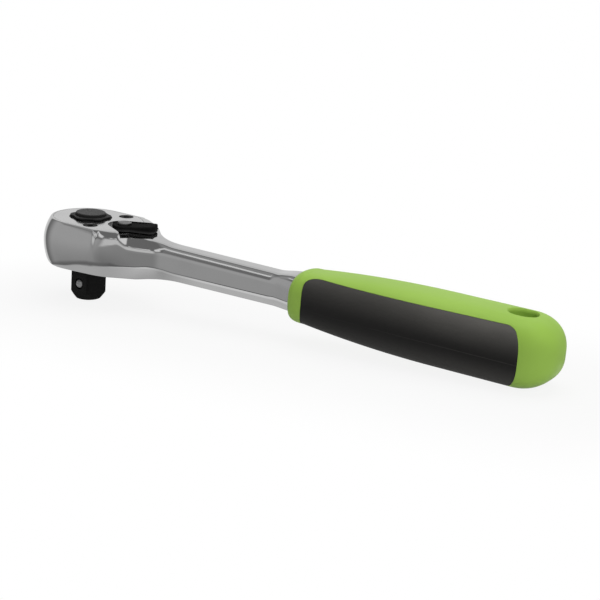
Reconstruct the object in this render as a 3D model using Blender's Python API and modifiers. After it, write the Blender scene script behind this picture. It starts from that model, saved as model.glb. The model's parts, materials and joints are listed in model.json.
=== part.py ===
"""A pear-head ratchet wrench with a half-inch square drive, as an assembly of separate pieces.

The origin is the centre of the square's end face. +Z runs up the drive axis to the release button,
+X runs along the handle, and the tool is symmetric across y = 0 apart from the flipped lever and pawl.
"""

import math

import bmesh
import bpy
from mathutils import Matrix, Vector

MM = 0.001

# Clearances between pieces
SEAT_GAP = 0.3 * MM
SLIDE_GAP = 0.25 * MM
TOOTH_GAP = 0.12 * MM

# Square drive and toothed wheel
SQUARE_ACROSS = 12.7 * MM
SQUARE_LENGTH = 16.5 * MM
SQUARE_CORNER = 1.1 * MM
SQUARE_TIP_TAPER = 3.6 * MM
SQUARE_TIP_RADIUS = 6.1 * MM
SQUARE_TURN = math.radians(-8)
HUB_RADIUS = 9.1 * MM
HUB_PROJECTION = 1.5 * MM
TOOTH_COUNT = 72
TOOTH_TIP_RADIUS = 13.8 * MM
TOOTH_DEPTH = 0.8 * MM
TOOTH_HEIGHT = 10.7 * MM
TOOTH_ROOT_SHARE = 0.38
TOOTH_TIP_SHARE = 0.12
SHOULDER_INSET = 1.0 * MM
COLLAR_HUB_RADIUS = 10.2 * MM
WASHER_THICKNESS = 0.8 * MM

# Collar, release button, pin and ball
COLLAR_SIDES = 6
COLLAR_CORNER_RADIUS = 10.4 * MM
COLLAR_ROUNDING = 1.6 * MM
COLLAR_THICKNESS = 0.7 * MM
COLLAR_TURN = math.radians(34)
BUTTON_RADIUS = 7.3 * MM
BUTTON_RISE = 1.5 * MM
BUTTON_HEIGHT = 3.4 * MM
BUTTON_EDGE = 0.5 * MM
BUTTON_TRAVEL = 2.2 * MM
PIN_RADIUS = 2.1 * MM
PIN_SOCKET_DEPTH = 1.2 * MM
GROOVE_HALF_LENGTH = 0.55 * MM
GROOVE_RAMP = 1.65 * MM
BALL_RADIUS = 2.5 * MM
BALL_TRAVEL = 0.95 * MM
BALL_HEIGHT = 7.7 * MM
BALL_SIDE = SQUARE_TURN - math.pi / 2
SPRING_BORE_DEPTH = 7.0 * MM
SPRING_ROOM = 2.0 * MM
RELEASE_WIRE = 0.4 * MM
RELEASE_TURNS = 5

# Head of the forging
HEAD_RADIUS = 22.5 * MM
HEAD_HEIGHT = 23.0 * MM
HEAD_FLOOR = 4.0 * MM
HEAD_EDGE = 0.5 * MM
HEAD_BOTTOM_EDGE = 1.0 * MM
HEAD_CROWN = 3.0 * MM
HEAD_BOTTOM_CROWN = 2.0 * MM
FLANK_LENGTH = 15.5 * MM
FLANK_ANGLE = math.radians(34)
NECK_FILLET = 14.0 * MM

# Neck and shank
SHANK_WIDTH = 13.4 * MM
SHANK_HEIGHT = 16.6 * MM
SHANK_TAPER = 1.0 * MM
SHANK_DROP = 4.2 * MM
NECK_START = 30.0 * MM
NECK_LENGTH = 25.0 * MM
NECK_SOFTNESS = 1.3
BELLY_START = 38.0 * MM
BELLY_LENGTH = 20.0 * MM
CHAMFER_ROUNDING = 0.35
CHAMFER_START = 18.5 * MM
CHAMFER_RUN_IN = 2.5 * MM
SHOULDER_CHAMFER_INSET = 1.3 * MM
SHOULDER_CHAMFER_DEPTH = 2.8 * MM
NECK_CHAMFER_AT = 32.0 * MM
NECK_CHAMFER_INSET = 4.6 * MM
NECK_CHAMFER_DEPTH = 6.3 * MM
BELLY_CHAMFER_START = -8.0 * MM
BELLY_CHAMFER_AT = 40.0 * MM
BELLY_CHAMFER_INSET = 4.0 * MM
BELLY_CHAMFER_DEPTH = 7.0 * MM
SHANK_CHAMFER_INSET = 3.2 * MM
SHANK_CHAMFER_DEPTH = 4.1 * MM
CHAMFER_RUN_OUT = 4.0 * MM
CHAMFER_STOP = 0.5 * MM
SHANK_ENTRY = 4.0 * MM
TANG_WIDTH = 9.0 * MM
TANG_HEIGHT = 12.0 * MM
TANG_LENGTH = 78.0 * MM

# Cover plate and its screws
COVER_THICKNESS = 4.0 * MM
COVER_RIM = 1.0 * MM
COVER_STRETCH = 10.0 * MM
SCREW_HEAD_RADIUS = 3.5 * MM
SCREW_HEAD_HEIGHT = 1.7 * MM
SCREW_RIM = 0.2 * MM
SCREW_SINK = 0.35 * MM
SCREW_SHANK_RADIUS = 1.6 * MM
SCREW_LENGTH = 9.0 * MM
SCREW_EDGE = 0.9 * MM
SCREW_X = 11.3 * MM
SOCKET_SIDES = 6
SCREW_SOCKET = 1.5 * MM
SCREW_SOCKET_DEPTH = 1.1 * MM

# Pawl, with its pin
PAWL_HEIGHT = 8.0 * MM
PAWL_WALL = 0.7 * MM
PAWL_PIN_RADIUS = 1.1 * MM
PAWL_ROCK = math.radians(5)
PAWL_FIRST_TOOTH = 4
PAWL_LAST_TOOTH = 6
PAWL_ARM = 3.2 * MM
PAWL_ROOM = 1.15 * MM
PAWL_LIFT = 2.0 * MM

# Reversing lever, with its spindle, screw, plunger and spring
LEVER_TURN = math.radians(22)
LEVER_LENGTH = 16.0 * MM
LEVER_BOSS_RADIUS = 4.9 * MM
LEVER_BOSS_HEIGHT = 2.5 * MM
LEVER_WAIST = 9.0 * MM
LEVER_END_WIDTH = 9.8 * MM
LEVER_END_RISE = 1.3 * MM
LEVER_END_ROUND = 2.2 * MM
LEVER_EDGE = 0.5 * MM
LEVER_RECESS_DEPTH = 2.6 * MM
LEVER_RECESS_RADIUS = 8.0 * MM
LEVER_RECESS_ANGLE = math.radians(28)
LEVER_RECESS_LENGTH = 24.0 * MM
SPINDLE_RADIUS = 2.3 * MM
SPINDLE_FOOT = 1.6 * MM
LEVER_SCREW_RADIUS = 3.4 * MM
LEVER_SCREW_HEIGHT = 1.2 * MM
LEVER_SCREW_EDGE = 0.3 * MM
LEVER_SCREW_SINK = 0.4 * MM
LEVER_SCREW_SHANK = 1.1 * MM
LEVER_SCREW_LENGTH = 5.0 * MM
LEVER_SLOT_WIDTH = 0.8 * MM
LEVER_SLOT_DEPTH = 0.7 * MM
PLUNGER_RADIUS = 1.0 * MM
PLUNGER_LENGTH = 2.6 * MM
PLUNGER_REACH = 0.5 * MM
PLUNGER_WIRE = 0.22 * MM
PLUNGER_SPRING_LENGTH = 1.5 * MM
PLUNGER_TURNS = 2

# Handle and inlays
HANDLE_FRONT = 124.3 * MM
HANDLE_LENGTH = 126.6 * MM
HANDLE_FRONT_HEIGHT = 24.2 * MM
HANDLE_REAR_HEIGHT = 30.9 * MM
HANDLE_FRONT_WIDTH = 25.2 * MM
HANDLE_REAR_WIDTH = 31.6 * MM
HANDLE_FLARE_START = 7.0 * MM
HANDLE_FLARE_LENGTH = 66.0 * MM
HANDLE_SQUARENESS = 3.0
HANDLE_NOSE_LENGTH = 5.0 * MM
HANDLE_NOSE_INSET = 1.6 * MM
HANDLE_DOME = 17.0 * MM
HANDLE_DOME_SQUARENESS = 2.5
HANDLE_BUTT_SHARE = 0.12
HANG_HOLE_FROM_END = 19.0 * MM
HANG_HOLE_LENGTH = 12.5 * MM
HANG_HOLE_WIDTH = 10.0 * MM
HANG_HOLE_FLARE = 1.6 * MM
HANG_HOLE_FLARE_DEPTH = 1.8 * MM
INLAY_FRONT = 8.2 * MM
INLAY_REAR = 13.1 * MM
INLAY_FRONT_TOP = 10.4 * MM
INLAY_REAR_TOP = 12.5 * MM
INLAY_UNDER = 5.5 * MM
INLAY_THICKNESS = 2.0 * MM
INLAY_CORNER = 3.4 * MM
INLAY_SPAN = 33.0 * MM
INLAY_WIDEST = 0.4
INLAY_FRONT_SWEEP = 4.0 * MM
INLAY_REAR_SWEEP = 9.0 * MM
INLAY_TOP_SWEEP = 4.5 * MM

# Levels worked out from the sizes above
HEAD_BOTTOM = SQUARE_LENGTH + HUB_PROJECTION
HEAD_TOP = HEAD_BOTTOM + HEAD_HEIGHT
FLOOR_TOP = HEAD_BOTTOM + HEAD_FLOOR
COVER_BOTTOM = HEAD_TOP - COVER_THICKNESS
RECESS_FLOOR = COVER_BOTTOM - SEAT_GAP
GEAR_BOTTOM = FLOOR_TOP + SEAT_GAP
GEAR_TOP = GEAR_BOTTOM + TOOTH_HEIGHT
WASHER_TOP = COVER_BOTTOM - SEAT_GAP
SHOULDER_TOP = WASHER_TOP - WASHER_THICKNESS - SEAT_GAP
COLLAR_BOTTOM = HEAD_TOP + SEAT_GAP
COLLAR_TOP = COLLAR_BOTTOM + COLLAR_THICKNESS
COLLAR_HUB_TOP = COLLAR_BOTTOM - SEAT_GAP
BUTTON_TOP = COLLAR_TOP + BUTTON_RISE
BUTTON_BOTTOM = BUTTON_TOP - BUTTON_HEIGHT
BUTTON_POCKET_FLOOR = BUTTON_BOTTOM - BUTTON_TRAVEL - SEAT_GAP
SPRING_SEAT = BUTTON_POCKET_FLOOR - SPRING_BORE_DEPTH
SPRING_BORE_RADIUS = PIN_RADIUS + SPRING_ROOM + SLIDE_GAP
SHANK_TOP = HEAD_TOP - SHANK_DROP
SHANK_BOTTOM = SHANK_TOP - SHANK_HEIGHT
SHANK_MIDDLE = (SHANK_TOP + SHANK_BOTTOM) / 2
PAWL_BOTTOM = GEAR_BOTTOM + PAWL_LIFT
PAWL_TOP = PAWL_BOTTOM + PAWL_HEIGHT
FOOT_BOTTOM = PAWL_BOTTOM - SPINDLE_FOOT
PIN_BOTTOM = BALL_HEIGHT - BALL_RADIUS
GROOVE_MIDDLE = BALL_HEIGHT + BUTTON_TRAVEL
SCREW_TOP = HEAD_TOP - SCREW_SINK
LEVER_FLOOR = HEAD_TOP - LEVER_RECESS_DEPTH
LEVER_BOTTOM = LEVER_FLOOR + SEAT_GAP
LEVER_SEAT = LEVER_BOTTOM + LEVER_BOSS_HEIGHT - LEVER_SCREW_SINK
LEVER_SCREW_TOP = LEVER_SEAT + SEAT_GAP + LEVER_SCREW_HEIGHT

# Places worked out from the sizes above
GEAR_BORE_RADIUS = TOOTH_TIP_RADIUS + SEAT_GAP
COVER_RADIUS = HEAD_RADIUS - HEAD_CROWN - HEAD_EDGE - COVER_RIM
SCREW_Y = COVER_RADIUS - SCREW_EDGE - SCREW_HEAD_RADIUS
BALL_OFFSET = PIN_RADIUS + SLIDE_GAP + BALL_RADIUS
PAWL_PIN_BORE = PAWL_PIN_RADIUS + SLIDE_GAP
PAWL_PIN_X = TOOTH_TIP_RADIUS + SEAT_GAP + PAWL_WALL + PAWL_PIN_BORE
PAWL_BACK = PAWL_PIN_X + PAWL_PIN_BORE + PAWL_WALL
SPINDLE_X = PAWL_BACK + SEAT_GAP + PLUNGER_REACH + SPINDLE_RADIUS
SPINDLE_BORE = SPINDLE_RADIUS + SLIDE_GAP
SPINDLE_AT = (SPINDLE_X, 0.0)
PLUNGER_BACK = SPINDLE_RADIUS + PLUNGER_REACH - PLUNGER_LENGTH
NECK_END = NECK_START + NECK_LENGTH
BELLY_END = BELLY_START + BELLY_LENGTH
SHANK_END = HANDLE_FRONT + SHANK_ENTRY
CHAMFER_END = HANDLE_FRONT - CHAMFER_STOP
TANG_END = SHANK_END + TANG_LENGTH
HANDLE_END = HANDLE_FRONT + HANDLE_LENGTH
HANG_HOLE_X = HANDLE_END - HANG_HOLE_FROM_END
INLAY_START = HANDLE_FRONT + INLAY_FRONT
INLAY_END = HANDLE_END - INLAY_REAR

BORE_SIDES = 60
CIRCLE_SIDES = 40
SMALL_SIDES = 24
SHARP_ANGLE = math.radians(35)
WELD = 0.001 * MM
MERGE = 0.01 * MM
SIDES = (("near", -1), ("far", 1))


def clear_scene():
    """Take away whatever the scene held."""
    for obj in list(bpy.data.objects):
        bpy.data.objects.remove(obj, do_unlink=True)


def collection(name):
    """A collection of this name, linked to the scene."""
    made = bpy.data.collections.new(name)
    bpy.context.scene.collection.children.link(made)
    return made


def material(name, colour, roughness, metallic):
    """A Principled material of one colour."""
    made = bpy.data.materials.new(name)
    made.use_nodes = True
    shader = made.node_tree.nodes["Principled BSDF"]
    shader.inputs["Base Color"].default_value = (*colour, 1.0)
    shader.inputs["Roughness"].default_value = roughness
    shader.inputs["Metallic"].default_value = metallic
    return made


clear_scene()
PARTS = collection("ratchet_wrench")
CUTTERS = collection("ratchet_wrench_cutters")
CHROME = material("polished_chrome", (0.62, 0.62, 0.62), 0.12, 1.0)
COVER_CHROME = material("satin_chrome", (0.66, 0.66, 0.66), 0.24, 1.0)
BLACK_STEEL = material("black_oxide_steel", (0.02, 0.02, 0.02), 0.42, 0.6)
DARK_STEEL = material("dark_button_steel", (0.06, 0.06, 0.055), 0.45, 0.5)
GREY_STEEL = material("bright_spring_steel", (0.45, 0.45, 0.44), 0.3, 1.0)
LEVER_BLACK = material("lever_black", (0.018, 0.018, 0.018), 0.4, 0.2)
GREEN_PLASTIC = material("green_plastic", (0.34, 0.56, 0.11), 0.5, 0.0)
SOFT_BLACK = material("soft_black_rubber", (0.03, 0.03, 0.028), 0.62, 0.0)


def place(obj, name, finish):
    """Name a piece, give it its finish and its place among the parts, or hide it if it has no finish."""
    obj.name = name
    obj.data.name = name
    for owner in list(obj.users_collection):
        owner.objects.unlink(obj)
    if finish is None:
        CUTTERS.objects.link(obj)
        obj.hide_render = True
        obj.display_type = "WIRE"
        return obj
    PARTS.objects.link(obj)
    obj.data.materials.clear()
    obj.data.materials.append(finish)
    obj.data.shade_smooth()
    obj.data.set_sharp_from_angle(angle=SHARP_ANGLE)
    return obj


def from_bmesh(shape, name, finish=None):
    """A mesh object from a bmesh."""
    mesh = bpy.data.meshes.new(name)
    shape.to_mesh(mesh)
    shape.free()
    return place(bpy.data.objects.new(name, mesh), name, finish)


def cylinder(name, radius, low, high, at=(0.0, 0.0), sides=CIRCLE_SIDES, finish=None):
    """An upright cylinder with its origin on its own axis."""
    shape = bmesh.new()
    bmesh.ops.create_cone(
        shape,
        cap_ends=True,
        segments=sides,
        radius1=radius,
        radius2=radius,
        depth=high - low,
    )
    bmesh.ops.translate(shape, verts=shape.verts, vec=(0.0, 0.0, (low + high) / 2))
    obj = from_bmesh(shape, name, finish)
    obj.location = (at[0], at[1], 0.0)
    return obj


def box(name, low, high, finish=None):
    """A box between two corners."""
    low = Vector(low)
    high = Vector(high)
    shape = bmesh.new()
    bmesh.ops.create_cube(shape, size=1.0)
    bmesh.ops.scale(shape, verts=shape.verts, vec=high - low)
    bmesh.ops.translate(shape, verts=shape.verts, vec=(low + high) / 2)
    return from_bmesh(shape, name, finish)


def turned(name, profile, finish=None, at=(0.0, 0.0), ring=False, sides=CIRCLE_SIDES):
    """A turned piece: (radius, height) points that run down its outer side, spun by a Screw modifier."""
    shape = bmesh.new()
    verts = [shape.verts.new((radius, 0.0, height)) for radius, height in profile]
    for first, second in zip(verts, verts[1:]):
        shape.edges.new((first, second))
    if ring:
        shape.edges.new((verts[-1], verts[0]))
    obj = from_bmesh(shape, name, finish)
    obj.location = (at[0], at[1], 0.0)
    spin = obj.modifiers.new("spin", "SCREW")
    spin.axis = "Z"
    spin.steps = sides
    spin.render_steps = sides
    spin.use_merge_vertices = True
    spin.merge_threshold = MERGE
    spin.use_smooth_shade = True
    return obj


def mesh_of_curve(curve, name, finish):
    """The curve object as a mesh object with welded caps, in the curve's place."""
    bpy.context.view_layer.update()
    graph = bpy.context.evaluated_depsgraph_get()
    mesh = bpy.data.meshes.new_from_object(curve.evaluated_get(graph))
    shape = bmesh.new()
    shape.from_mesh(mesh)
    bmesh.ops.remove_doubles(shape, verts=shape.verts, dist=WELD)
    bmesh.ops.recalc_face_normals(shape, faces=shape.faces)
    shape.to_mesh(mesh)
    shape.free()
    obj = bpy.data.objects.new(name, mesh)
    obj.matrix_world = curve.matrix_world
    bpy.data.objects.remove(curve, do_unlink=True)
    return place(obj, name, finish)


def plate(name, outlines, low, high, finish=None):
    """A flat outline, with any holes as further outlines, raised between two heights."""
    curve = bpy.data.curves.new(name, "CURVE")
    curve.dimensions = "2D"
    curve.fill_mode = "BOTH"
    curve.extrude = (high - low) / 2
    for outline in outlines:
        spline = curve.splines.new("POLY")
        spline.points.add(len(outline) - 1)
        for point, (x, y) in zip(spline.points, outline):
            point.co = (x, y, 0.0, 1.0)
        spline.use_cyclic_u = True
    obj = bpy.data.objects.new(name, curve)
    obj.location = (0.0, 0.0, (low + high) / 2)
    PARTS.objects.link(obj)
    return mesh_of_curve(obj, name, finish)


def wire(name, points, radius, finish, rounding=1):
    """A round wire along a run of points."""
    curve = bpy.data.curves.new(name, "CURVE")
    curve.dimensions = "3D"
    curve.bevel_depth = radius
    curve.bevel_resolution = rounding
    curve.use_fill_caps = True
    spline = curve.splines.new("POLY")
    spline.points.add(len(points) - 1)
    for point, place_of in zip(spline.points, points):
        point.co = (*place_of, 1.0)
    obj = bpy.data.objects.new(name, curve)
    PARTS.objects.link(obj)
    return mesh_of_curve(obj, name, finish)


def coil(start, length, radius, turns, steps=10):
    """Points of a coil that runs up its Z axis from a start."""
    count = turns * steps
    points = []
    for index in range(count + 1):
        angle = math.tau * index / steps
        rise = start + length * index / count
        points.append((radius * math.cos(angle), radius * math.sin(angle), rise))
    return points


def loft(name, rings, finish=None, closed=True):
    """A skin over equal rings of points. A closed one has its two ends capped."""
    shape = bmesh.new()
    rows = [[shape.verts.new(point) for point in ring] for ring in rings]
    count = len(rings[0])
    last = count if closed else count - 1
    for row, following in zip(rows, rows[1:]):
        for index in range(last):
            after = (index + 1) % count
            shape.faces.new((row[index], row[after], following[after], following[index]))
    if closed:
        shape.faces.new(list(reversed(rows[0])))
    shape.faces.new(rows[-1])
    bmesh.ops.remove_doubles(shape, verts=shape.verts, dist=WELD)
    bmesh.ops.recalc_face_normals(shape, faces=shape.faces)
    return from_bmesh(shape, name, finish)


def boolean(obj, other, operation, solver="EXACT"):
    """Cut, join or intersect a piece with a helper."""
    change = obj.modifiers.new(operation.lower() + "_" + other.name, "BOOLEAN")
    change.operation = operation
    change.object = other
    change.solver = solver


def cut(obj, *cutters, solver="EXACT"):
    """Take cutters out of a piece."""
    for cutter in cutters:
        boolean(obj, cutter, "DIFFERENCE", solver)


def join(obj, *others):
    """Add helpers to a piece."""
    for other in others:
        boolean(obj, other, "UNION")


def ease(value):
    """A smooth step from 0 to 1."""
    value = min(1.0, max(0.0, value))
    return value * value * (3 - 2 * value)


def run(x, *stops):
    """Value at x of a curve that eases from one (x, value) stop to the next."""
    value = stops[0][1]
    for (start, low), (end, high) in zip(stops, stops[1:]):
        if x > start:
            value = low + (high - low) * ease((x - start) / (end - start))
    return value


def turn_about(point, centre, angle):
    """A flat point turned about a centre."""
    x = point[0] - centre[0]
    y = point[1] - centre[1]
    cosine = math.cos(angle)
    sine = math.sin(angle)
    return centre[0] + x * cosine - y * sine, centre[1] + x * sine + y * cosine


def arc(centre, radius, start, end, steps):
    """Points along an arc, both ends included."""
    angles = [start + (end - start) * index / steps for index in range(steps + 1)]
    return [(centre[0] + radius * math.cos(a), centre[1] + radius * math.sin(a)) for a in angles]


def circle(centre, radius, sides):
    """Points round a full circle."""
    return arc(centre, radius, 0.0, math.tau, sides)[:-1]


def stadium(radius, stretch, steps=16):
    """A round-ended outline about the drive axis, drawn out along +X."""
    front = arc((0.0, 0.0), radius, math.pi / 2, math.pi * 1.5, steps)
    rear = arc((stretch, 0.0), radius, -math.pi / 2, math.pi / 2, steps)
    return front + rear


# Forging


def plan_stations():
    """Points (x, half width, normal angle) round one side of the forging, seen from above."""
    stations = []
    for x, y in arc((0.0, 0.0), HEAD_RADIUS, math.pi, math.pi / 2, 12):
        stations.append((x, y, math.atan2(y, x)))
    stations.append((FLANK_LENGTH / 2, HEAD_RADIUS, math.pi / 2))
    for x, y in arc((FLANK_LENGTH, 0.0), HEAD_RADIUS, math.pi / 2, math.pi / 2 - FLANK_ANGLE, 9):
        stations.append((x, y, math.atan2(y, x - FLANK_LENGTH)))
    taper_x, taper_y, normal = stations[-1]
    half = SHANK_WIDTH / 2
    fillet_y = half + NECK_FILLET
    taper_end_y = fillet_y - NECK_FILLET * math.cos(FLANK_ANGLE)
    taper_end_x = taper_x + (taper_y - taper_end_y) / math.tan(FLANK_ANGLE)
    fillet_x = taper_end_x + NECK_FILLET * math.sin(FLANK_ANGLE)
    for share in (1 / 3, 2 / 3):
        x = taper_x + (taper_end_x - taper_x) * share
        y = taper_y + (taper_end_y - taper_y) * share
        stations.append((x, y, normal))
    for x, y in arc((fillet_x, fillet_y), NECK_FILLET, normal + math.pi, math.pi * 1.5, 5):
        stations.append((x, y, math.atan2(fillet_y - y, fillet_x - x)))
    run_out = CHAMFER_END - CHAMFER_RUN_OUT
    for share in (0.05, 0.1, 0.25, 0.5, 0.75, 1.0):
        stations.append((fillet_x + (run_out - fillet_x) * share, half, math.pi / 2))
    for share in (0.25, 0.5, 0.75, 1.0):
        stations.append((run_out + CHAMFER_RUN_OUT * share, half, math.pi / 2))
    stations.append((SHANK_END, half, math.pi / 2))
    return stations


def neck_blend(x, start, length):
    """How far a face of the forging has gone from head to shank at x, from 0 to 1."""
    along = min(1.0, max(0.0, (x - start) / length))
    return math.sin(math.pi / 2 * along**NECK_SOFTNESS)


def shank_taper(x):
    """How far the shank's top and bottom have closed in at x."""
    return SHANK_TAPER / 2 * min(1.0, max(0.0, (x - NECK_END) / (HANDLE_FRONT - NECK_END)))


def forging_top(x):
    """Height of the forging's top at x."""
    return HEAD_TOP - SHANK_DROP * neck_blend(x, NECK_START, NECK_LENGTH) - shank_taper(x)


def forging_bottom(x):
    """Height of the forging's bottom at x."""
    rise = SHANK_BOTTOM - HEAD_BOTTOM
    return HEAD_BOTTOM + rise * neck_blend(x, BELLY_START, BELLY_LENGTH) + shank_taper(x)


def top_edge(x):
    """Inset and depth of the chamfer along the top edge at x."""
    run_in = CHAMFER_START + CHAMFER_RUN_IN
    run_out = CHAMFER_END - CHAMFER_RUN_OUT
    sizes = []
    for shoulder, neck, shank in (
        (SHOULDER_CHAMFER_INSET, NECK_CHAMFER_INSET, SHANK_CHAMFER_INSET),
        (SHOULDER_CHAMFER_DEPTH, NECK_CHAMFER_DEPTH, SHANK_CHAMFER_DEPTH),
    ):
        sizes.append(run(
            x,
            (CHAMFER_START, HEAD_EDGE),
            (run_in, shoulder),
            (NECK_CHAMFER_AT, neck),
            (NECK_END, shank),
            (run_out, shank),
            (CHAMFER_END, HEAD_EDGE),
        ))
    return sizes


def bottom_edge(x):
    """Inset and depth of the chamfer along the bottom edge at x."""
    run_out = CHAMFER_END - CHAMFER_RUN_OUT
    sizes = []
    for belly, shank in (
        (BELLY_CHAMFER_INSET, SHANK_CHAMFER_INSET),
        (BELLY_CHAMFER_DEPTH, SHANK_CHAMFER_DEPTH),
    ):
        sizes.append(run(
            x,
            (BELLY_CHAMFER_START, HEAD_BOTTOM_EDGE),
            (BELLY_CHAMFER_AT, belly),
            (BELLY_END, shank),
            (run_out, shank),
            (CHAMFER_END, HEAD_EDGE),
        ))
    return sizes


def edge_points(inset, depth, steps=3):
    """(inset, drop) points of a slightly rounded chamfer, from the flat face to the wall."""
    points = []
    for index in range(steps + 1):
        share = index / steps
        angle = share * math.pi / 2
        flat_inset = inset * (1 - share)
        flat_drop = depth * share
        round_inset = inset * (1 - math.sin(angle))
        round_drop = depth * (1 - math.cos(angle))
        pull = flat_inset + (round_inset - flat_inset) * CHAMFER_ROUNDING
        drop = flat_drop + (round_drop - flat_drop) * CHAMFER_ROUNDING
        points.append((pull, drop))
    return points


def rib(station, top, bottom, crowns, top_sizes, bottom_sizes):
    """One half section of the forging, from the middle of its top to the middle of its bottom."""
    x, y, normal = station

    def inwards(pull):
        return x - math.cos(normal) * pull, max(0.0, y - math.sin(normal) * pull)

    points = []
    for pull, drop in edge_points(*top_sizes):
        at_x, at_y = inwards(pull + crowns[0])
        points.append((at_x, at_y, top(at_x) - drop))
    wall_steps = 6
    for index in range(1, wall_steps):
        share = index / wall_steps
        crown = crowns[0] if share < 0.5 else crowns[1]
        at_x, at_y = inwards(crown * (2 * share - 1) ** 2)
        high = top(at_x) - top_sizes[1]
        low = bottom(at_x) + bottom_sizes[1]
        points.append((at_x, at_y, high + (low - high) * share))
    for pull, drop in reversed(edge_points(*bottom_sizes)):
        at_x, at_y = inwards(pull + crowns[1])
        points.append((at_x, at_y, bottom(at_x) + drop))
    first = points[0]
    last = points[-1]
    return [(first[0], 0.0, first[2]), *points, (last[0], 0.0, last[2])]


def forging_ribs():
    """Half sections from the front of the head to the end of the tang."""
    ribs = []
    for station in plan_stations():
        x = station[0]
        left = 1 - ease((x - FLANK_LENGTH) / NECK_LENGTH)
        crowns = (HEAD_CROWN * left, HEAD_BOTTOM_CROWN * left)
        ribs.append(rib(station, forging_top, forging_bottom, crowns, top_edge(x), bottom_edge(x)))

    def tang_top(_):
        return SHANK_MIDDLE + TANG_HEIGHT / 2

    def tang_bottom(_):
        return SHANK_MIDDLE - TANG_HEIGHT / 2

    edge = (HEAD_EDGE, HEAD_EDGE)
    for x in (SHANK_END, TANG_END):
        station = (x, TANG_WIDTH / 2, math.pi / 2)
        ribs.append(rib(station, tang_top, tang_bottom, (0.0, 0.0), edge, edge))
    return ribs


def lever_recess(name):
    """Cutter for the fan-shaped recess in which the lever swings, open over the neck."""
    tangent = math.pi / 2 + LEVER_RECESS_ANGLE
    outline = arc(SPINDLE_AT, LEVER_RECESS_RADIUS, tangent, math.tau - tangent, 14)
    end_x = SPINDLE_X + LEVER_RECESS_LENGTH
    corner_x, corner_y = outline[0]
    spread = corner_y + (end_x - corner_x) * math.tan(LEVER_RECESS_ANGLE)
    outline += [(end_x, -spread), (end_x, spread)]
    return plate(name, [outline], LEVER_FLOOR, HEAD_TOP + HEAD_EDGE)


def make_forging():
    """Head, neck, shank and tang in one forging, with the pockets of the head cut out."""
    forging = loft("body_forging", forging_ribs(), CHROME, closed=False)
    mirror = forging.modifiers.new("other_side", "MIRROR")
    mirror.use_axis = (False, True, False)
    mirror.merge_threshold = MERGE
    above = HEAD_TOP + HEAD_EDGE
    pin_at = (PAWL_PIN_X, 0.0)
    recess = stadium(COVER_RADIUS + SEAT_GAP, COVER_STRETCH)
    hub_hole = HUB_RADIUS + SLIDE_GAP
    cut(
        forging,
        plate("cover_recess", [recess], RECESS_FLOOR, above),
        cylinder("gear_bore", GEAR_BORE_RADIUS, FLOOR_TOP, above, sides=BORE_SIDES),
        cylinder("hub_bore", hub_hole, HEAD_BOTTOM - SEAT_GAP, FLOOR_TOP + SEAT_GAP),
        lever_recess("forging_lever_recess"),
        plate("pawl_pocket", [pawl_pocket()], PAWL_BOTTOM - SEAT_GAP, above),
        cylinder("spindle_bore", SPINDLE_BORE, FOOT_BOTTOM - SEAT_GAP, above, SPINDLE_AT, SMALL_SIDES),
        cylinder("pawl_pin_hole", PAWL_PIN_BORE, FOOT_BOTTOM - SEAT_GAP, above, pin_at, SMALL_SIDES),
        solver="MANIFOLD",
    )
    for name, side in SIDES:
        hole = SCREW_SHANK_RADIUS + SLIDE_GAP
        low = SCREW_TOP - SCREW_LENGTH - SEAT_GAP
        at = (SCREW_X, side * SCREW_Y)
        hole_cutter = cylinder("screw_hole_" + name, hole, low, above, at, SMALL_SIDES)
        cut(forging, hole_cutter, solver="MANIFOLD")


# Cover plate and screws


def make_cover():
    """Flat plate let into the head, with holes for the hub, the spindle and its two screws."""
    hub = circle((0.0, 0.0), COLLAR_HUB_RADIUS + SLIDE_GAP, CIRCLE_SIDES)
    spindle = circle(SPINDLE_AT, SPINDLE_BORE, SMALL_SIDES)
    outline = stadium(COVER_RADIUS, COVER_STRETCH)
    cover = plate("cover_plate", [outline, hub, spindle], COVER_BOTTOM, HEAD_TOP, COVER_CHROME)
    for name, side in SIDES:
        at = (SCREW_X, side * SCREW_Y)
        profile = screw_profile(SLIDE_GAP, COVER_THICKNESS)
        cut(cover, turned("countersink_" + name, profile, at=at, sides=SMALL_SIDES))
    cut(cover, lever_recess("cover_lever_recess"))


def screw_profile(grow, length):
    """Countersunk screw, or the hole for it where it is grown."""
    head = SCREW_HEAD_RADIUS + grow
    shank = SCREW_SHANK_RADIUS + grow
    top = SCREW_TOP if grow == 0.0 else HEAD_TOP + SEAT_GAP
    low = SCREW_TOP - length
    return [
        (0.0, top),
        (head, top),
        (head, SCREW_TOP - SCREW_RIM),
        (shank, SCREW_TOP - SCREW_HEAD_HEIGHT),
        (shank, low),
        (0.0, low),
    ]


def make_cover_screws():
    """Two countersunk screws with six-sided sockets."""
    for name, side in SIDES:
        at = (SCREW_X, side * SCREW_Y)
        profile = screw_profile(0.0, SCREW_LENGTH)
        screw = turned("cover_screw_" + name, profile, BLACK_STEEL, at, sides=SMALL_SIDES)
        low = SCREW_TOP - SCREW_SOCKET_DEPTH
        above = HEAD_TOP + SEAT_GAP
        cut(screw, cylinder("screw_socket_" + name, SCREW_SOCKET, low, above, at, SOCKET_SIDES))


# Drive, collar, button, pin, spring and ball


def gear_tooth(tooth, grow=0.0):
    """Corners of one gear tooth: root, tip, tip, root, with the profile grown outwards by a gap."""
    pitch = math.tau / TOOTH_COUNT
    tip = TOOTH_TIP_RADIUS + grow
    root = tip - TOOTH_DEPTH
    rising = [(-TOOTH_ROOT_SHARE, root), (-TOOTH_TIP_SHARE, tip)]
    falling = [(TOOTH_TIP_SHARE, tip), (TOOTH_ROOT_SHARE, root)]
    corners = []
    for share, radius in rising + falling:
        angle = (tooth + share) * pitch
        corners.append((radius * math.cos(angle), radius * math.sin(angle)))
    return corners


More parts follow.
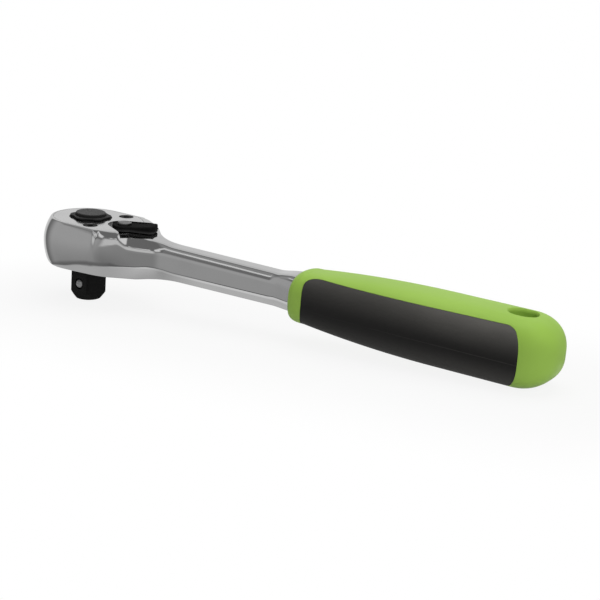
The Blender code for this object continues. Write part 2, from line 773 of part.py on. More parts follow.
def rounded_polygon(sides, reach, rounding, turn, steps=3):
    """A regular outline with rounded corners, which reach this far from the axis."""
    outline = []
    half = math.pi / sides
    for index in range(sides):
        angle = turn + math.tau * index / sides
        centre = (math.cos(angle) * (reach - rounding), math.sin(angle) * (reach - rounding))
        outline += arc(centre, rounding, angle - half, angle + half, steps)
    return outline


def make_drive_gear():
    """Toothed wheel, hubs and square in one piece, bored for the button, pin, spring and ball."""
    outline = []
    for tooth in range(TOOTH_COUNT):
        outline += gear_tooth(tooth)
    gear = plate("drive_gear", [outline], GEAR_BOTTOM, GEAR_TOP, BLACK_STEEL)
    inside = GEAR_BOTTOM + TOOTH_HEIGHT / 2
    corner_reach = (SQUARE_ACROSS / 2 - SQUARE_CORNER) * math.sqrt(2) + SQUARE_CORNER
    corners = rounded_polygon(4, corner_reach, SQUARE_CORNER, SQUARE_TURN + math.pi / 4)
    square = plate("square", [corners], 0.0, SQUARE_LENGTH + HUB_PROJECTION / 2)
    blank_top = SQUARE_LENGTH + HUB_PROJECTION
    blank = turned("square_blank", [
        (0.0, blank_top),
        (corner_reach + SEAT_GAP, blank_top),
        (corner_reach + SEAT_GAP, SQUARE_TIP_TAPER),
        (SQUARE_TIP_RADIUS, 0.0),
        (0.0, 0.0),
    ])
    boolean(square, blank, "INTERSECT")
    shoulder = TOOTH_TIP_RADIUS - TOOTH_DEPTH - SHOULDER_INSET
    join(
        gear,
        cylinder("gear_shoulder", shoulder, inside, SHOULDER_TOP),
        cylinder("collar_hub", COLLAR_HUB_RADIUS, inside, COLLAR_HUB_TOP),
        cylinder("lower_hub", HUB_RADIUS, SQUARE_LENGTH, inside),
        square,
    )
    button_bore = BUTTON_RADIUS + SLIDE_GAP
    pin_bore = PIN_RADIUS + SLIDE_GAP
    bore = turned("stepped_bore", [
        (0.0, COLLAR_TOP),
        (button_bore, COLLAR_TOP),
        (button_bore, BUTTON_POCKET_FLOOR),
        (SPRING_BORE_RADIUS, BUTTON_POCKET_FLOOR),
        (SPRING_BORE_RADIUS, SPRING_SEAT),
        (pin_bore, SPRING_SEAT),
        (pin_bore, PIN_BOTTOM - BUTTON_TRAVEL - SEAT_GAP),
        (0.0, PIN_BOTTOM - BUTTON_TRAVEL - SEAT_GAP),
    ], sides=SMALL_SIDES)
    ball_bore = cylinder("ball_bore", BALL_RADIUS + SLIDE_GAP, 0.0, SQUARE_ACROSS, sides=SMALL_SIDES)
    ball_bore.matrix_world = along_ball(0.0)
    cut(gear, bore, ball_bore)


def along_ball(offset):
    """The frame of the ball's bore: its Z points out of the square's flank."""
    out = Vector((math.cos(BALL_SIDE), math.sin(BALL_SIDE), 0.0))
    turn = out.to_track_quat("Z", "Y").to_matrix().to_4x4()
    return Matrix.Translation(out * offset + Vector((0.0, 0.0, BALL_HEIGHT))) @ turn


def make_collar():
    """Six-sided collar that turns with the gear, round the button."""
    outline = rounded_polygon(COLLAR_SIDES, COLLAR_CORNER_RADIUS, COLLAR_ROUNDING, COLLAR_TURN)
    hole = circle((0.0, 0.0), BUTTON_RADIUS + SLIDE_GAP, CIRCLE_SIDES)
    plate("hub_collar", [outline, hole], COLLAR_BOTTOM, COLLAR_TOP, BLACK_STEEL)


def make_release():
    """Button, the pin under it with its groove for the ball, and the spring round the pin."""
    socket = PIN_RADIUS + SLIDE_GAP
    edge_at = (BUTTON_RADIUS - BUTTON_EDGE, BUTTON_TOP - BUTTON_EDGE)
    turned("release_button", [
        (0.0, BUTTON_TOP),
        *arc(edge_at, BUTTON_EDGE, math.pi / 2, 0.0, 2),
        (BUTTON_RADIUS, BUTTON_BOTTOM),
        (socket, BUTTON_BOTTOM),
        (socket, BUTTON_BOTTOM + PIN_SOCKET_DEPTH),
        (0.0, BUTTON_BOTTOM + PIN_SOCKET_DEPTH),
    ], DARK_STEEL)
    groove = PIN_RADIUS - BALL_TRAVEL
    pin_top = BUTTON_BOTTOM + PIN_SOCKET_DEPTH - SEAT_GAP
    turned("release_pin", [
        (0.0, pin_top),
        (PIN_RADIUS, pin_top),
        (PIN_RADIUS, GROOVE_MIDDLE + GROOVE_HALF_LENGTH + GROOVE_RAMP),
        (groove, GROOVE_MIDDLE + GROOVE_HALF_LENGTH),
        (groove, GROOVE_MIDDLE - GROOVE_HALF_LENGTH),
        (PIN_RADIUS, GROOVE_MIDDLE - GROOVE_HALF_LENGTH - GROOVE_RAMP),
        (PIN_RADIUS, PIN_BOTTOM),
        (0.0, PIN_BOTTOM),
    ], GREY_STEEL, sides=SMALL_SIDES)
    start = SPRING_SEAT + SEAT_GAP + RELEASE_WIRE
    length = BUTTON_BOTTOM - SEAT_GAP - RELEASE_WIRE - start
    mean = SPRING_BORE_RADIUS - SLIDE_GAP - RELEASE_WIRE
    points = coil(start, length, mean, RELEASE_TURNS)
    wire("release_spring", points, RELEASE_WIRE, GREY_STEEL)


def make_ball():
    """Detent ball in the flank of the square."""
    shape = bmesh.new()
    bmesh.ops.create_uvsphere(shape, u_segments=16, v_segments=10, radius=BALL_RADIUS)
    ball = from_bmesh(shape, "detent_ball", GREY_STEEL)
    ball.matrix_world = along_ball(BALL_OFFSET)


def make_washer():
    """Thrust washer on the gear's shoulder, under the cover."""
    inner = COLLAR_HUB_RADIUS + SLIDE_GAP
    outer = TOOTH_TIP_RADIUS - TOOTH_DEPTH - SHOULDER_INSET
    low = WASHER_TOP - WASHER_THICKNESS
    profile = [(outer, WASHER_TOP), (outer, low), (inner, low), (inner, WASHER_TOP)]
    turned("thrust_washer", profile, GREY_STEEL, ring=True)


# Pawl


def pawl_outline():
    """The pawl seen from above in its middle position, as (x, y) from the drive axis."""
    pin = (PAWL_PIN_X, 0.0)
    pitch = math.tau / TOOTH_COUNT
    relief = TOOTH_TIP_RADIUS + SEAT_GAP
    inner = arc((0.0, 0.0), relief, 0.0, (PAWL_FIRST_TOOTH - 0.5) * pitch, 3)[1:]
    for tooth in range(PAWL_FIRST_TOOTH, PAWL_LAST_TOOTH + 1):
        inner += gear_tooth(tooth, TOOTH_GAP)
    arm = [turn_about(point, pin, -PAWL_ROCK) for point in inner]
    tip = (PAWL_LAST_TOOTH + 0.5) * pitch
    outer = TOOTH_TIP_RADIUS + PAWL_ARM
    arm.append((outer * math.cos(tip), outer * math.sin(tip)))
    arm.append((PAWL_BACK, PAWL_PIN_BORE + PAWL_WALL))
    other_arm = [(x, -y) for x, y in reversed(arm)]
    return [(relief, 0.0), *arm, *other_arm]


def pawl_pocket():
    """The room behind the gear bore in which the pawl rocks."""
    tip = (PAWL_LAST_TOOTH + 0.5) * math.tau / TOOTH_COUNT
    outer = TOOTH_TIP_RADIUS + PAWL_ARM + PAWL_ROOM
    tip += PAWL_ROOM / outer
    inner = GEAR_BORE_RADIUS - PAWL_ROOM
    half = [
        (inner * math.cos(tip), inner * math.sin(tip)),
        (outer * math.cos(tip), outer * math.sin(tip)),
        (PAWL_BACK + PAWL_ROOM, PAWL_PIN_BORE + PAWL_WALL + PAWL_ROOM),
        (SPINDLE_X, SPINDLE_BORE),
    ]
    return half + [(x, -y) for x, y in reversed(half)]


def make_pawl():
    """Two-armed rocker with gear teeth on both arms, one of them in mesh, and the pin it rocks on."""
    pin = (PAWL_PIN_X, 0.0)
    hole = circle(pin, PAWL_PIN_BORE, SMALL_SIDES)
    pawl = plate("pawl", [pawl_outline(), hole], PAWL_BOTTOM, PAWL_TOP, BLACK_STEEL)
    pawl.data.transform(Matrix.Translation((-PAWL_PIN_X, 0.0, 0.0)))
    pawl.location.x = PAWL_PIN_X
    pawl.rotation_euler.z = -PAWL_ROCK
    high = COVER_BOTTOM - SEAT_GAP
    cylinder("pawl_pin", PAWL_PIN_RADIUS, FOOT_BOTTOM, high, pin, SMALL_SIDES, GREY_STEEL)


# Reversing lever


def lever_width(along):
    """Half width of the lever at a distance from its pivot."""
    boss = math.sqrt(max(0.0, LEVER_BOSS_RADIUS**2 - along**2))
    if along <= 0.0:
        return boss
    share = along / LEVER_LENGTH
    arm = (LEVER_WAIST + (LEVER_END_WIDTH - LEVER_WAIST) * share) / 2
    return max(boss, arm)


def lever_section(along, pull):
    """Ring of the lever across its length, pulled in by an amount at its rounded end."""
    rise = (along - LEVER_BOSS_RADIUS) / (LEVER_LENGTH - LEVER_BOSS_RADIUS)
    half = max(LEVER_EDGE, lever_width(along) - pull)
    low = LEVER_BOTTOM + pull / 2
    high = LEVER_BOTTOM + LEVER_BOSS_HEIGHT + LEVER_END_RISE * max(0.0, rise) - pull / 2
    edge = min(LEVER_EDGE, half / 2)
    return [
        (along, -half, low + edge),
        (along, -half + edge, low),
        (along, half - edge, low),
        (along, half, low + edge),
        (along, half, high - edge),
        (along, half - edge, high),
        (along, -half + edge, high),
        (along, -half, high - edge),
    ]


def make_lever():
    """Flip lever with a round boss and a thumb tail that thickens towards its end."""
    boss_steps = [math.sin(math.radians(angle)) for angle in (-80, -60, -40, -20, 0, 20, 40)]
    rings = [lever_section(LEVER_BOSS_RADIUS * step, 0.0) for step in boss_steps]
    first = LEVER_BOSS_RADIUS
    last = LEVER_LENGTH - LEVER_END_ROUND
    steps = 6
    for index in range(steps):
        rings.append(lever_section(first + (last - first) * index / steps, 0.0))
    for along, pull in arc((last, LEVER_END_ROUND), LEVER_END_ROUND, -math.pi / 2, 0.0, 3):
        rings.append(lever_section(along, pull))
    lever = loft("reverse_lever", rings, LEVER_BLACK)
    lever.location = (SPINDLE_X, 0.0, 0.0)
    lever.rotation_euler.z = LEVER_TURN
    hole = turned("lever_hole", [
        (0.0, LEVER_SCREW_TOP),
        (LEVER_SCREW_RADIUS + SLIDE_GAP, LEVER_SCREW_TOP),
        (LEVER_SCREW_RADIUS + SLIDE_GAP, LEVER_SEAT),
        (LEVER_SCREW_SHANK + SLIDE_GAP, LEVER_SEAT),
        (LEVER_SCREW_SHANK + SLIDE_GAP, LEVER_FLOOR),
        (0.0, LEVER_FLOOR),
    ], at=SPINDLE_AT, sides=SMALL_SIDES)
    cut(lever, hole)


def make_lever_screw():
    """Slotted round-headed screw that holds the lever on its spindle."""
    head_low = LEVER_SEAT + SEAT_GAP
    low = LEVER_FLOOR - LEVER_SCREW_LENGTH
    screw = turned("lever_screw", [
        (0.0, LEVER_SCREW_TOP),
        (LEVER_SCREW_RADIUS - LEVER_SCREW_EDGE, LEVER_SCREW_TOP),
        (LEVER_SCREW_RADIUS, LEVER_SCREW_TOP - LEVER_SCREW_EDGE),
        (LEVER_SCREW_RADIUS, head_low),
        (LEVER_SCREW_SHANK, head_low),
        (LEVER_SCREW_SHANK, low),
        (0.0, low),
    ], GREY_STEEL, SPINDLE_AT, sides=SMALL_SIDES)
    half = LEVER_SLOT_WIDTH / 2
    reach = LEVER_SCREW_RADIUS + SLIDE_GAP
    slot_floor = LEVER_SCREW_TOP - LEVER_SLOT_DEPTH
    slot = box("lever_screw_slot", (-reach, -half, slot_floor), (reach, half, LEVER_SCREW_TOP + SEAT_GAP))
    slot.location = (SPINDLE_X, 0.0, 0.0)
    slot.rotation_euler.z = LEVER_TURN
    cut(screw, slot)


def along_plunger():
    """The frame of the plunger's bore: its Z points out of the spindle at the pawl."""
    out = Vector((-math.cos(LEVER_TURN), -math.sin(LEVER_TURN), 0.0))
    turn = out.to_track_quat("Z", "Y").to_matrix().to_4x4()
    middle = Vector((SPINDLE_X, 0.0, (PAWL_BOTTOM + PAWL_TOP) / 2))
    return Matrix.Translation(middle) @ turn


def make_spindle():
    """Spindle under the lever, with the sprung plunger that pushes the pawl over."""
    spindle = cylinder(
        "lever_spindle", SPINDLE_RADIUS, FOOT_BOTTOM, LEVER_FLOOR, SPINDLE_AT, SMALL_SIDES, GREY_STEEL
    )
    frame = along_plunger()
    low = LEVER_FLOOR - LEVER_SCREW_LENGTH - SEAT_GAP
    above = LEVER_FLOOR + SEAT_GAP
    screw_hole = LEVER_SCREW_SHANK + SLIDE_GAP
    thread = cylinder("spindle_thread", screw_hole, low, above, SPINDLE_AT, SMALL_SIDES)
    bore_low = PLUNGER_BACK - PLUNGER_SPRING_LENGTH - SEAT_GAP
    bore_radius = PLUNGER_RADIUS + SLIDE_GAP
    bore = cylinder("plunger_bore", bore_radius, bore_low, SPINDLE_RADIUS * 2, sides=SMALL_SIDES)
    bore.matrix_world = frame
    cut(spindle, thread, bore)
    tip = SPINDLE_RADIUS + PLUNGER_REACH
    nose = [(x, y) for y, x in arc((tip - PLUNGER_RADIUS, 0.0), PLUNGER_RADIUS, 0.0, math.pi / 2, 4)]
    profile = [*nose, (PLUNGER_RADIUS, PLUNGER_BACK), (0.0, PLUNGER_BACK)]
    plunger = turned("pawl_plunger", profile, GREY_STEEL, sides=SMALL_SIDES // 2)
    plunger.matrix_world = frame
    start = PLUNGER_BACK - PLUNGER_SPRING_LENGTH + PLUNGER_WIRE
    length = PLUNGER_SPRING_LENGTH - SEAT_GAP - PLUNGER_WIRE * 2
    points = coil(start, length, PLUNGER_RADIUS - PLUNGER_WIRE, PLUNGER_TURNS, steps=6)
    spring = wire("pawl_spring", points, PLUNGER_WIRE, GREY_STEEL, rounding=0)
    spring.matrix_world = frame


# Handle and inlays


def handle_half_sizes(x):
    """Half width and half height of the handle at x, before its rounded ends."""
    opened = (x - HANDLE_FRONT - HANDLE_FLARE_START) / HANDLE_FLARE_LENGTH
    flare = 1 - (1 - min(1.0, max(0.0, opened))) ** 2
    width = HANDLE_FRONT_WIDTH + (HANDLE_REAR_WIDTH - HANDLE_FRONT_WIDTH) * flare
    height = HANDLE_FRONT_HEIGHT + (HANDLE_REAR_HEIGHT - HANDLE_FRONT_HEIGHT) * flare
    nose = max(0.0, 1 - (x - HANDLE_FRONT) / HANDLE_NOSE_LENGTH)
    pull = HANDLE_NOSE_INSET * (1 - math.sqrt(max(0.0, 1 - nose**2)))
    return width / 2 - pull, height / 2 - pull


def handle_ring(x, share, count=32):
    """Section of the handle at x, a squared oval drawn to a share of its full size."""
    width, height = handle_half_sizes(x)
    power = 2 / HANDLE_SQUARENESS
    ring = []
    for index in range(count):
        angle = math.tau * (index + 0.5) / count
        cosine = math.cos(angle)
        sine = math.sin(angle)
        y = math.copysign(abs(cosine) ** power, cosine) * width * share
        z = math.copysign(abs(sine) ** power, sine) * height * share
        ring.append((x, y, SHANK_MIDDLE + z))
    return ring


def handle_rings():
    """Sections from the handle's nose to its domed end."""
    rings = []
    for angle in (0, 20, 40, 60, 80):
        along = 1 - math.cos(math.radians(angle))
        rings.append(handle_ring(HANDLE_FRONT + HANDLE_NOSE_LENGTH * along, 1.0))
    start = HANDLE_FRONT + HANDLE_NOSE_LENGTH
    dome = HANDLE_END - HANDLE_DOME
    for index in range(11):
        rings.append(handle_ring(start + (dome - start) * index / 10, 1.0))
    for angle in (20, 40, 55, 68, 78, 85):
        along = math.sin(math.radians(angle))
        share = (1 - along**HANDLE_DOME_SQUARENESS) ** (1 / HANDLE_DOME_SQUARENESS)
        rings.append(handle_ring(dome + HANDLE_DOME * along, share))
    rings.append(handle_ring(HANDLE_END, HANDLE_BUTT_SHARE))
    return rings


def skin_point(x, angle, side, lift):
    """A point on the handle's side at an angle round its section, lifted off the skin."""
    width, height = handle_half_sizes(x)
    power = 2 / HANDLE_SQUARENESS
    across = math.cos(angle) ** power
    up = math.copysign(abs(math.sin(angle)) ** power, angle)
    normal_y = across ** (HANDLE_SQUARENESS - 1) / width
    normal_z = math.copysign(abs(up) ** (HANDLE_SQUARENESS - 1), up) / height
    size = math.hypot(normal_y, normal_z)
    y = width * across + lift * normal_y / size
    z = height * up + lift * normal_z / size
    return x, side * y, SHANK_MIDDLE + z


def inlay_angles(x, grow):
    """Angles round the section at which an inlay starts above and ends underneath."""
    width, height = handle_half_sizes(x)
    share = (x - INLAY_START) / (INLAY_END - INLAY_START)
    top = INLAY_FRONT_TOP + (INLAY_REAR_TOP - INLAY_FRONT_TOP) * share + grow
    under = INLAY_UNDER - grow
    power = HANDLE_SQUARENESS / 2
    return math.asin((top / height) ** power), -math.acos((under / width) ** power)


def inlay_ends(down, grow):
    """Front and rear of an inlay at a share of the way down its side."""
    over = max(0.0, 1 - down * INLAY_SPAN / (INLAY_CORNER + grow))
    corner = (INLAY_CORNER + grow) * (1 - math.sqrt(1 - over**2))
    below = max(0.0, down - INLAY_WIDEST) / (1 - INLAY_WIDEST)
    above = max(0.0, INLAY_WIDEST - down) / INLAY_WIDEST
    front = INLAY_START - grow + corner - INLAY_FRONT_SWEEP * below**2
    rear = INLAY_END + grow - corner - INLAY_REAR_SWEEP * below**2 - INLAY_TOP_SWEEP * above**2
    return front, rear


def inlay_solid(name, side, grow, low, high, finish=None, steps=14):
    """A slab that follows the handle's side and turns under it, between two lifts off its skin."""
    shape = bmesh.new()
    downs = (0.0, 0.02, 0.05, 0.1, 0.2, 0.35, 0.5, 0.65, 0.8, 0.9, 1.0)
    rows = len(downs)
    sheets = []
    for lift in (low, high):
        sheet = []
        for down in downs:
            front, rear = inlay_ends(down, grow)
            line = []
            for index in range(steps + 1):
                x = front + (rear - front) * index / steps
                top, under = inlay_angles(x, grow)
                line.append(shape.verts.new(skin_point(x, top + (under - top) * down, side, lift)))
            sheet.append(line)
        sheets.append(sheet)
    for sheet in sheets:
        for row in range(rows - 1):
            for step in range(steps):
                shape.faces.new((
                    sheet[row][step],
                    sheet[row][step + 1],
                    sheet[row + 1][step + 1],
                    sheet[row + 1][step],
                ))
    rim = [(0, step) for step in range(steps)]
    rim += [(row, steps) for row in range(rows - 1)]
    rim += [(rows - 1, step) for step in range(steps, 0, -1)]
    rim += [(row, 0) for row in range(rows - 1, 0, -1)]
    for (row, step), (next_row, next_step) in zip(rim, rim[1:] + rim[:1]):
        shape.faces.new((
            sheets[0][row][step],
            sheets[0][next_row][next_step],
            sheets[1][next_row][next_step],
            sheets[1][row][step],
        ))
    bmesh.ops.recalc_face_normals(shape, faces=shape.faces)
    return from_bmesh(shape, name, finish)


def hang_hole_ring(grow, z):
    """Outline of the hanging hole at a height."""
    radius = HANG_HOLE_WIDTH / 2 + grow
    stretch = HANG_HOLE_LENGTH - HANG_HOLE_WIDTH
    shift = HANG_HOLE_X - stretch / 2
    return [(x + shift, y, SHANK_MIDDLE + z) for x, y in stadium(radius, stretch, 8)]


def make_handle():
    """Moulded handle on the tang, with a hanging hole and beds for the two inlays."""
    handle = loft("handle_shell", handle_rings(), GREEN_PLASTIC)
    half = HANDLE_REAR_HEIGHT / 2
    flare_low = half - HANG_HOLE_FLARE_DEPTH
    flare_high = half + HANG_HOLE_FLARE_DEPTH
    flared = [(HANG_HOLE_FLARE * 2, flare_high), (0.0, flare_low)]
    levels = flared + [(grow, -z) for grow, z in reversed(flared)]
    hang_hole = loft("hanging_hole", [hang_hole_ring(grow, z) for grow, z in levels])
    pocket_y = SHANK_WIDTH / 2 + SEAT_GAP
    pocket_z = (SHANK_HEIGHT - SHANK_TAPER) / 2 + SEAT_GAP
    tang_y = TANG_WIDTH / 2 + SEAT_GAP
    tang_z = TANG_HEIGHT / 2 + SEAT_GAP
    before = HANDLE_FRONT - SHANK_ENTRY
    shank_bed = box(
        "shank_bed",
        (before, -pocket_y, SHANK_MIDDLE - pocket_z),
        (SHANK_END + SEAT_GAP, pocket_y, SHANK_MIDDLE + pocket_z),
    )
    tang_bed = box(
        "tang_bed",
        (before, -tang_y, SHANK_MIDDLE - tang_z),
        (TANG_END + SEAT_GAP, tang_y, SHANK_MIDDLE + tang_z),
    )
    cut(handle, shank_bed, tang_bed, hang_hole)
    for name, side in SIDES:
        bed_floor = -INLAY_THICKNESS - SEAT_GAP
        cut(handle, inlay_solid("inlay_bed_" + name, side, SEAT_GAP, bed_floor, INLAY_THICKNESS))
        inlay_solid("grip_inlay_" + name, side, 0.0, -INLAY_THICKNESS, 0.0, SOFT_BLACK)


make_forging()
make_cover()
make_cover_screws()
make_drive_gear()
make_collar()
make_release()
make_ball()
make_washer()
make_pawl()
make_lever()
make_lever_screw()
make_spindle()
make_handle()
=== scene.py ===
"""Pear-head ratchet wrench: refined surfaces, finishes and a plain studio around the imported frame.

Sizes are in metres in the frame of the solids: +Z runs up the drive axis, +X along the handle.
"""

from __future__ import annotations

import json
import logging
from collections.abc import Callable, Iterable, Sequence
from dataclasses import dataclass
from enum import Enum
from math import acos, asin, copysign, cos, dist, hypot, pi, radians, sin, sqrt, tan, tau

import bmesh
import bpy
from mathutils import Matrix, Vector

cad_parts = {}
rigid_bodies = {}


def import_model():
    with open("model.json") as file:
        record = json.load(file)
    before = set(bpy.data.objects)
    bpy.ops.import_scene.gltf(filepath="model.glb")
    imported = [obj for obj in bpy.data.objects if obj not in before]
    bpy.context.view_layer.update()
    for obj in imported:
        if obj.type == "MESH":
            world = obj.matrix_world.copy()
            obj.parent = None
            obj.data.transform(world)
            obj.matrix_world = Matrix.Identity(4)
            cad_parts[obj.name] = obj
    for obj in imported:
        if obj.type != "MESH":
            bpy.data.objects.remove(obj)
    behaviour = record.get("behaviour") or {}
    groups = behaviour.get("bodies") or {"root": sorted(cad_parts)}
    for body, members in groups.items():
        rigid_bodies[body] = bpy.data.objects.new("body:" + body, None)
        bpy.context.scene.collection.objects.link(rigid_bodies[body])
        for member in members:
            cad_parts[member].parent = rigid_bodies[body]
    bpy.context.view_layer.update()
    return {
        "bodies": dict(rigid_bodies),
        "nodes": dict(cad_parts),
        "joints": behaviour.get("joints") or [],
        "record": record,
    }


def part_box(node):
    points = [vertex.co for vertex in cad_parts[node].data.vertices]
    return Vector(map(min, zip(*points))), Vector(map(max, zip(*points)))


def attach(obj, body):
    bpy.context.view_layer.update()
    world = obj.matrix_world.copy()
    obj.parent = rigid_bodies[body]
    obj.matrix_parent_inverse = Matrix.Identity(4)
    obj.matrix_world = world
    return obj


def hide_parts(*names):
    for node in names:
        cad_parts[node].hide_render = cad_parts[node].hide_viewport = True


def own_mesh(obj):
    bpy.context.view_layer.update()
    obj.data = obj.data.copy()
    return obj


LOG = logging.getLogger("ratchet")
MM = 0.001
OVERCUT = 2 * MM
SHARP = radians(32)
COPLANAR = radians(0.5)
WELD = 2e-6
QUARTER = pi / 2
CENTRE = (0.0, 0.0)

Pair = tuple[float, float]
Triple = tuple[float, float, float]
Stops = tuple[tuple[float, ...], ...]
Piece = bpy.types.Object


def mm(*lengths: float) -> tuple[float, ...]:
    """Lengths given in millimetres."""
    return tuple(length * MM for length in lengths)


def degrees(*angles: float) -> tuple[float, ...]:
    """Angles given in degrees."""
    return tuple(map(radians, angles))


class Body(str, Enum):
    """Moving groups of the tool."""

    BODY = "body"
    DRIVE = "drive"
    RELEASE = "release"
    BALL = "ball"
    LEVER = "lever"


class Slot(str, Enum):
    """Finishes that the record names."""

    CHROME = "polished_chrome"
    SATIN = "satin_chrome"
    BLACK = "black_steel"
    BUTTON = "dark_button"
    STEEL = "bright_steel"
    LEVER = "black_lever"
    GREEN = "green_plastic"
    SOFT = "soft_black"


def math_node(operation: str, swapped: bool = False) -> Callable[..., Value]:
    """A method of Value that adds a Math node, with the other operand first where they are swapped."""

    def method(self: Value, *others: Value | float) -> Value:
        operands = (*others, self) if swapped else (self, *others)
        return self.graph.math(operation, *operands)

    return method


class Value:
    """An output socket that takes part in Python arithmetic."""

    def __init__(self, graph: Graph, socket: bpy.types.NodeSocket) -> None:
        """Keep the socket and the graph that it belongs to."""
        self.graph = graph
        self.socket = socket

    __add__ = __radd__ = math_node("ADD")
    __sub__, __rsub__ = math_node("SUBTRACT"), math_node("SUBTRACT", swapped=True)
    __mul__ = __rmul__ = math_node("MULTIPLY")
    __truediv__, __rtruediv__ = math_node("DIVIDE"), math_node("DIVIDE", swapped=True)
    __pow__, __abs__, sign = math_node("POWER"), math_node("ABSOLUTE"), math_node("SIGN")
    at_least, at_most = math_node("MAXIMUM"), math_node("MINIMUM")
    sine, cosine = math_node("SINE"), math_node("COSINE")

    def step(self, low: float, high: float) -> Value:
        """Smooth 0 to 1 as the value goes from low to high."""
        inputs = {"Value": self, "From Min": low, "From Max": high}
        return self.graph.add("ShaderNodeMapRange", inputs, {"interpolation_type": "SMOOTHSTEP"})


def window(value: Value, limits: Pair) -> Value:
    """One between two limits, with soft shoulders inside them."""
    low, high = limits
    soft = (high - low) / 4
    return value.step(low, low + soft) * (1 - value.step(high - soft, high))


def mixed(share: Value, first: Value | float, second: Value | float) -> Value:
    """The first value where the share is 0, the second where it is 1."""
    return first + (second - first) * share


class Graph:
    """A node tree that is filled by expressions."""

    def __init__(self, tree: bpy.types.NodeTree) -> None:
        """Start on a tree whose nodes are taken away."""
        self.tree = tree
        tree.nodes.clear()

    def add(
        self, kind: str, inputs: dict | None = None, settings: dict | None = None, output: int | str = 0
    ) -> Value:
        """Add one node.

        Args:
            kind: Blender's type of the node.
            inputs: Values or links of its sockets, by name or number.
            settings: Its own properties, set first.
            output: The output to hand on.

        Returns:
            The chosen output.
        """
        node = self.tree.nodes.new(kind)
        for name, value in (settings or {}).items():
            setattr(node, name, value)
        for name, value in (inputs or {}).items():
            socket = node.inputs[name]
            if isinstance(value, Value):
                self.tree.links.new(value.socket, socket)
            else:
                socket.default_value = value
        return Value(self, node.outputs[output] if len(node.outputs) else None)

    def outputs(self, kind: str, inputs: dict | None = None) -> dict[str, Value]:
        """Add one node and hand on all its outputs by name."""
        node = self.add(kind, inputs).socket.node
        return {socket.name: Value(self, socket) for socket in node.outputs}

    def math(self, operation: str, *values: Value | float) -> Value:
        """Add a Math node over values and numbers."""
        return self.add("ShaderNodeMath", dict(enumerate(values)), {"operation": operation})

    def place(self) -> Value:
        """Object coordinates."""
        return self.add("ShaderNodeTexCoord", output="Object")

    def axes(self, vector: Value) -> list[Value]:
        """The three parts of a vector."""
        return list(self.outputs("ShaderNodeSeparateXYZ", {0: vector}).values())

    def above(self, height: float, soft: float) -> Value:
        """One above a height, easing in from a little below it."""
        return self.axes(self.place())[2].step(height - soft, height)

    def noise(self, scale: float, detail: float = 3.0, stretch: Triple | None = None) -> Value:
        """Grey noise from 0 to 1, with so many grains to the metre, stretched along the axes."""
        vector = self.place()
        if stretch:
            vector = self.add("ShaderNodeMapping", {"Vector": vector, "Scale": stretch})
        return self.add("ShaderNodeTexNoise", {"Vector": vector, "Scale": scale, "Detail": detail})

    def blend(self, share: Value | float, first: Sequence | Value, second: Sequence | Value) -> Value:
        """Mix of two colours."""
        inputs = {"Factor": share, 6: first, 7: second}
        return self.add("ShaderNodeMix", inputs, {"data_type": "RGBA"}, output=2)

    def bump(self, height: Value, distance: float = 1.0) -> Value:
        """A normal raised by a height times a distance."""
        return self.add("ShaderNodeBump", {"Height": height, "Distance": distance})


def grey(level: float) -> tuple[float, float, float, float]:
    """A neutral colour."""
    return level, level, level, 1.0


def new_material(name: str) -> tuple[bpy.types.Material, Graph]:
    """A material with an empty graph to fill."""
    material = bpy.data.materials.new(name)
    material.use_nodes = True
    return material, Graph(material.node_tree)


@dataclass(frozen=True)
class Finish:
    """What all finishes share: a slot, and a shader whose sockets the subclass fills."""

    slot: Slot

    def make(self) -> bpy.types.Material:
        """A node material with one Principled shader."""
        material, graph = new_material(self.slot.value)
        shader = graph.add("ShaderNodeBsdfPrincipled", self.sockets(graph))
        graph.add("ShaderNodeOutputMaterial", {"Surface": shader})
        return material

    def sockets(self, graph: Graph) -> dict:
        """Values and links of the shader's sockets."""
        raise NotImplementedError


@dataclass(frozen=True)
class Chrome(Finish):
    """Chrome plate: long polishing waves, faint scratches and wiped patches."""

    level: float
    gloss: float
    wave: float

    def sockets(self, graph: Graph) -> dict:
        """Bright metal with slightly uneven gloss."""
        waves = graph.noise(150.0, 2.0, (0.35, 1.0, 1.0))
        scratch = graph.noise(2600.0, 2.0, (0.05, 1.0, 1.0))
        wiped = graph.noise(70.0, 4.0).step(0.42, 0.72)
        return {
            "Base Color": graph.blend(wiped * 0.5, grey(self.level), grey(self.level * 0.93)),
            "Metallic": 1.0,
            "Roughness": self.gloss + wiped * 0.03 + scratch * 0.03,
            "Normal": graph.bump(waves * self.wave + scratch * (self.wave * 0.02)),
        }


@dataclass(frozen=True)
class BlackSteel(Finish):
    """Black oxide on steel: dark, a little mottled, with rubbed grey patches."""

    level: float
    proud_grey: float
    proud_above: float

    def sockets(self, graph: Graph) -> dict:
        """Dark satin with fine grain, greyer where it stands proud of the head."""
        mottle = graph.noise(420.0, 5.0)
        rubbed = graph.noise(190.0, 6.0).step(0.56, 0.78)
        colour = graph.blend(rubbed * 0.55, grey(self.level), grey(self.level * 2.6))
        # Lighter grey above this height, which takes in the collar.
        above = graph.above(self.proud_above, 0.2 * MM)
        return {
            "Base Color": graph.blend(above, colour, grey(self.proud_grey)),
            "Roughness": 0.55 + mottle * 0.16 - rubbed * 0.08,
            "Specular IOR Level": 0.13,
            "Normal": graph.bump(graph.noise(5200.0, 2.0), 0.012 * MM),
        }


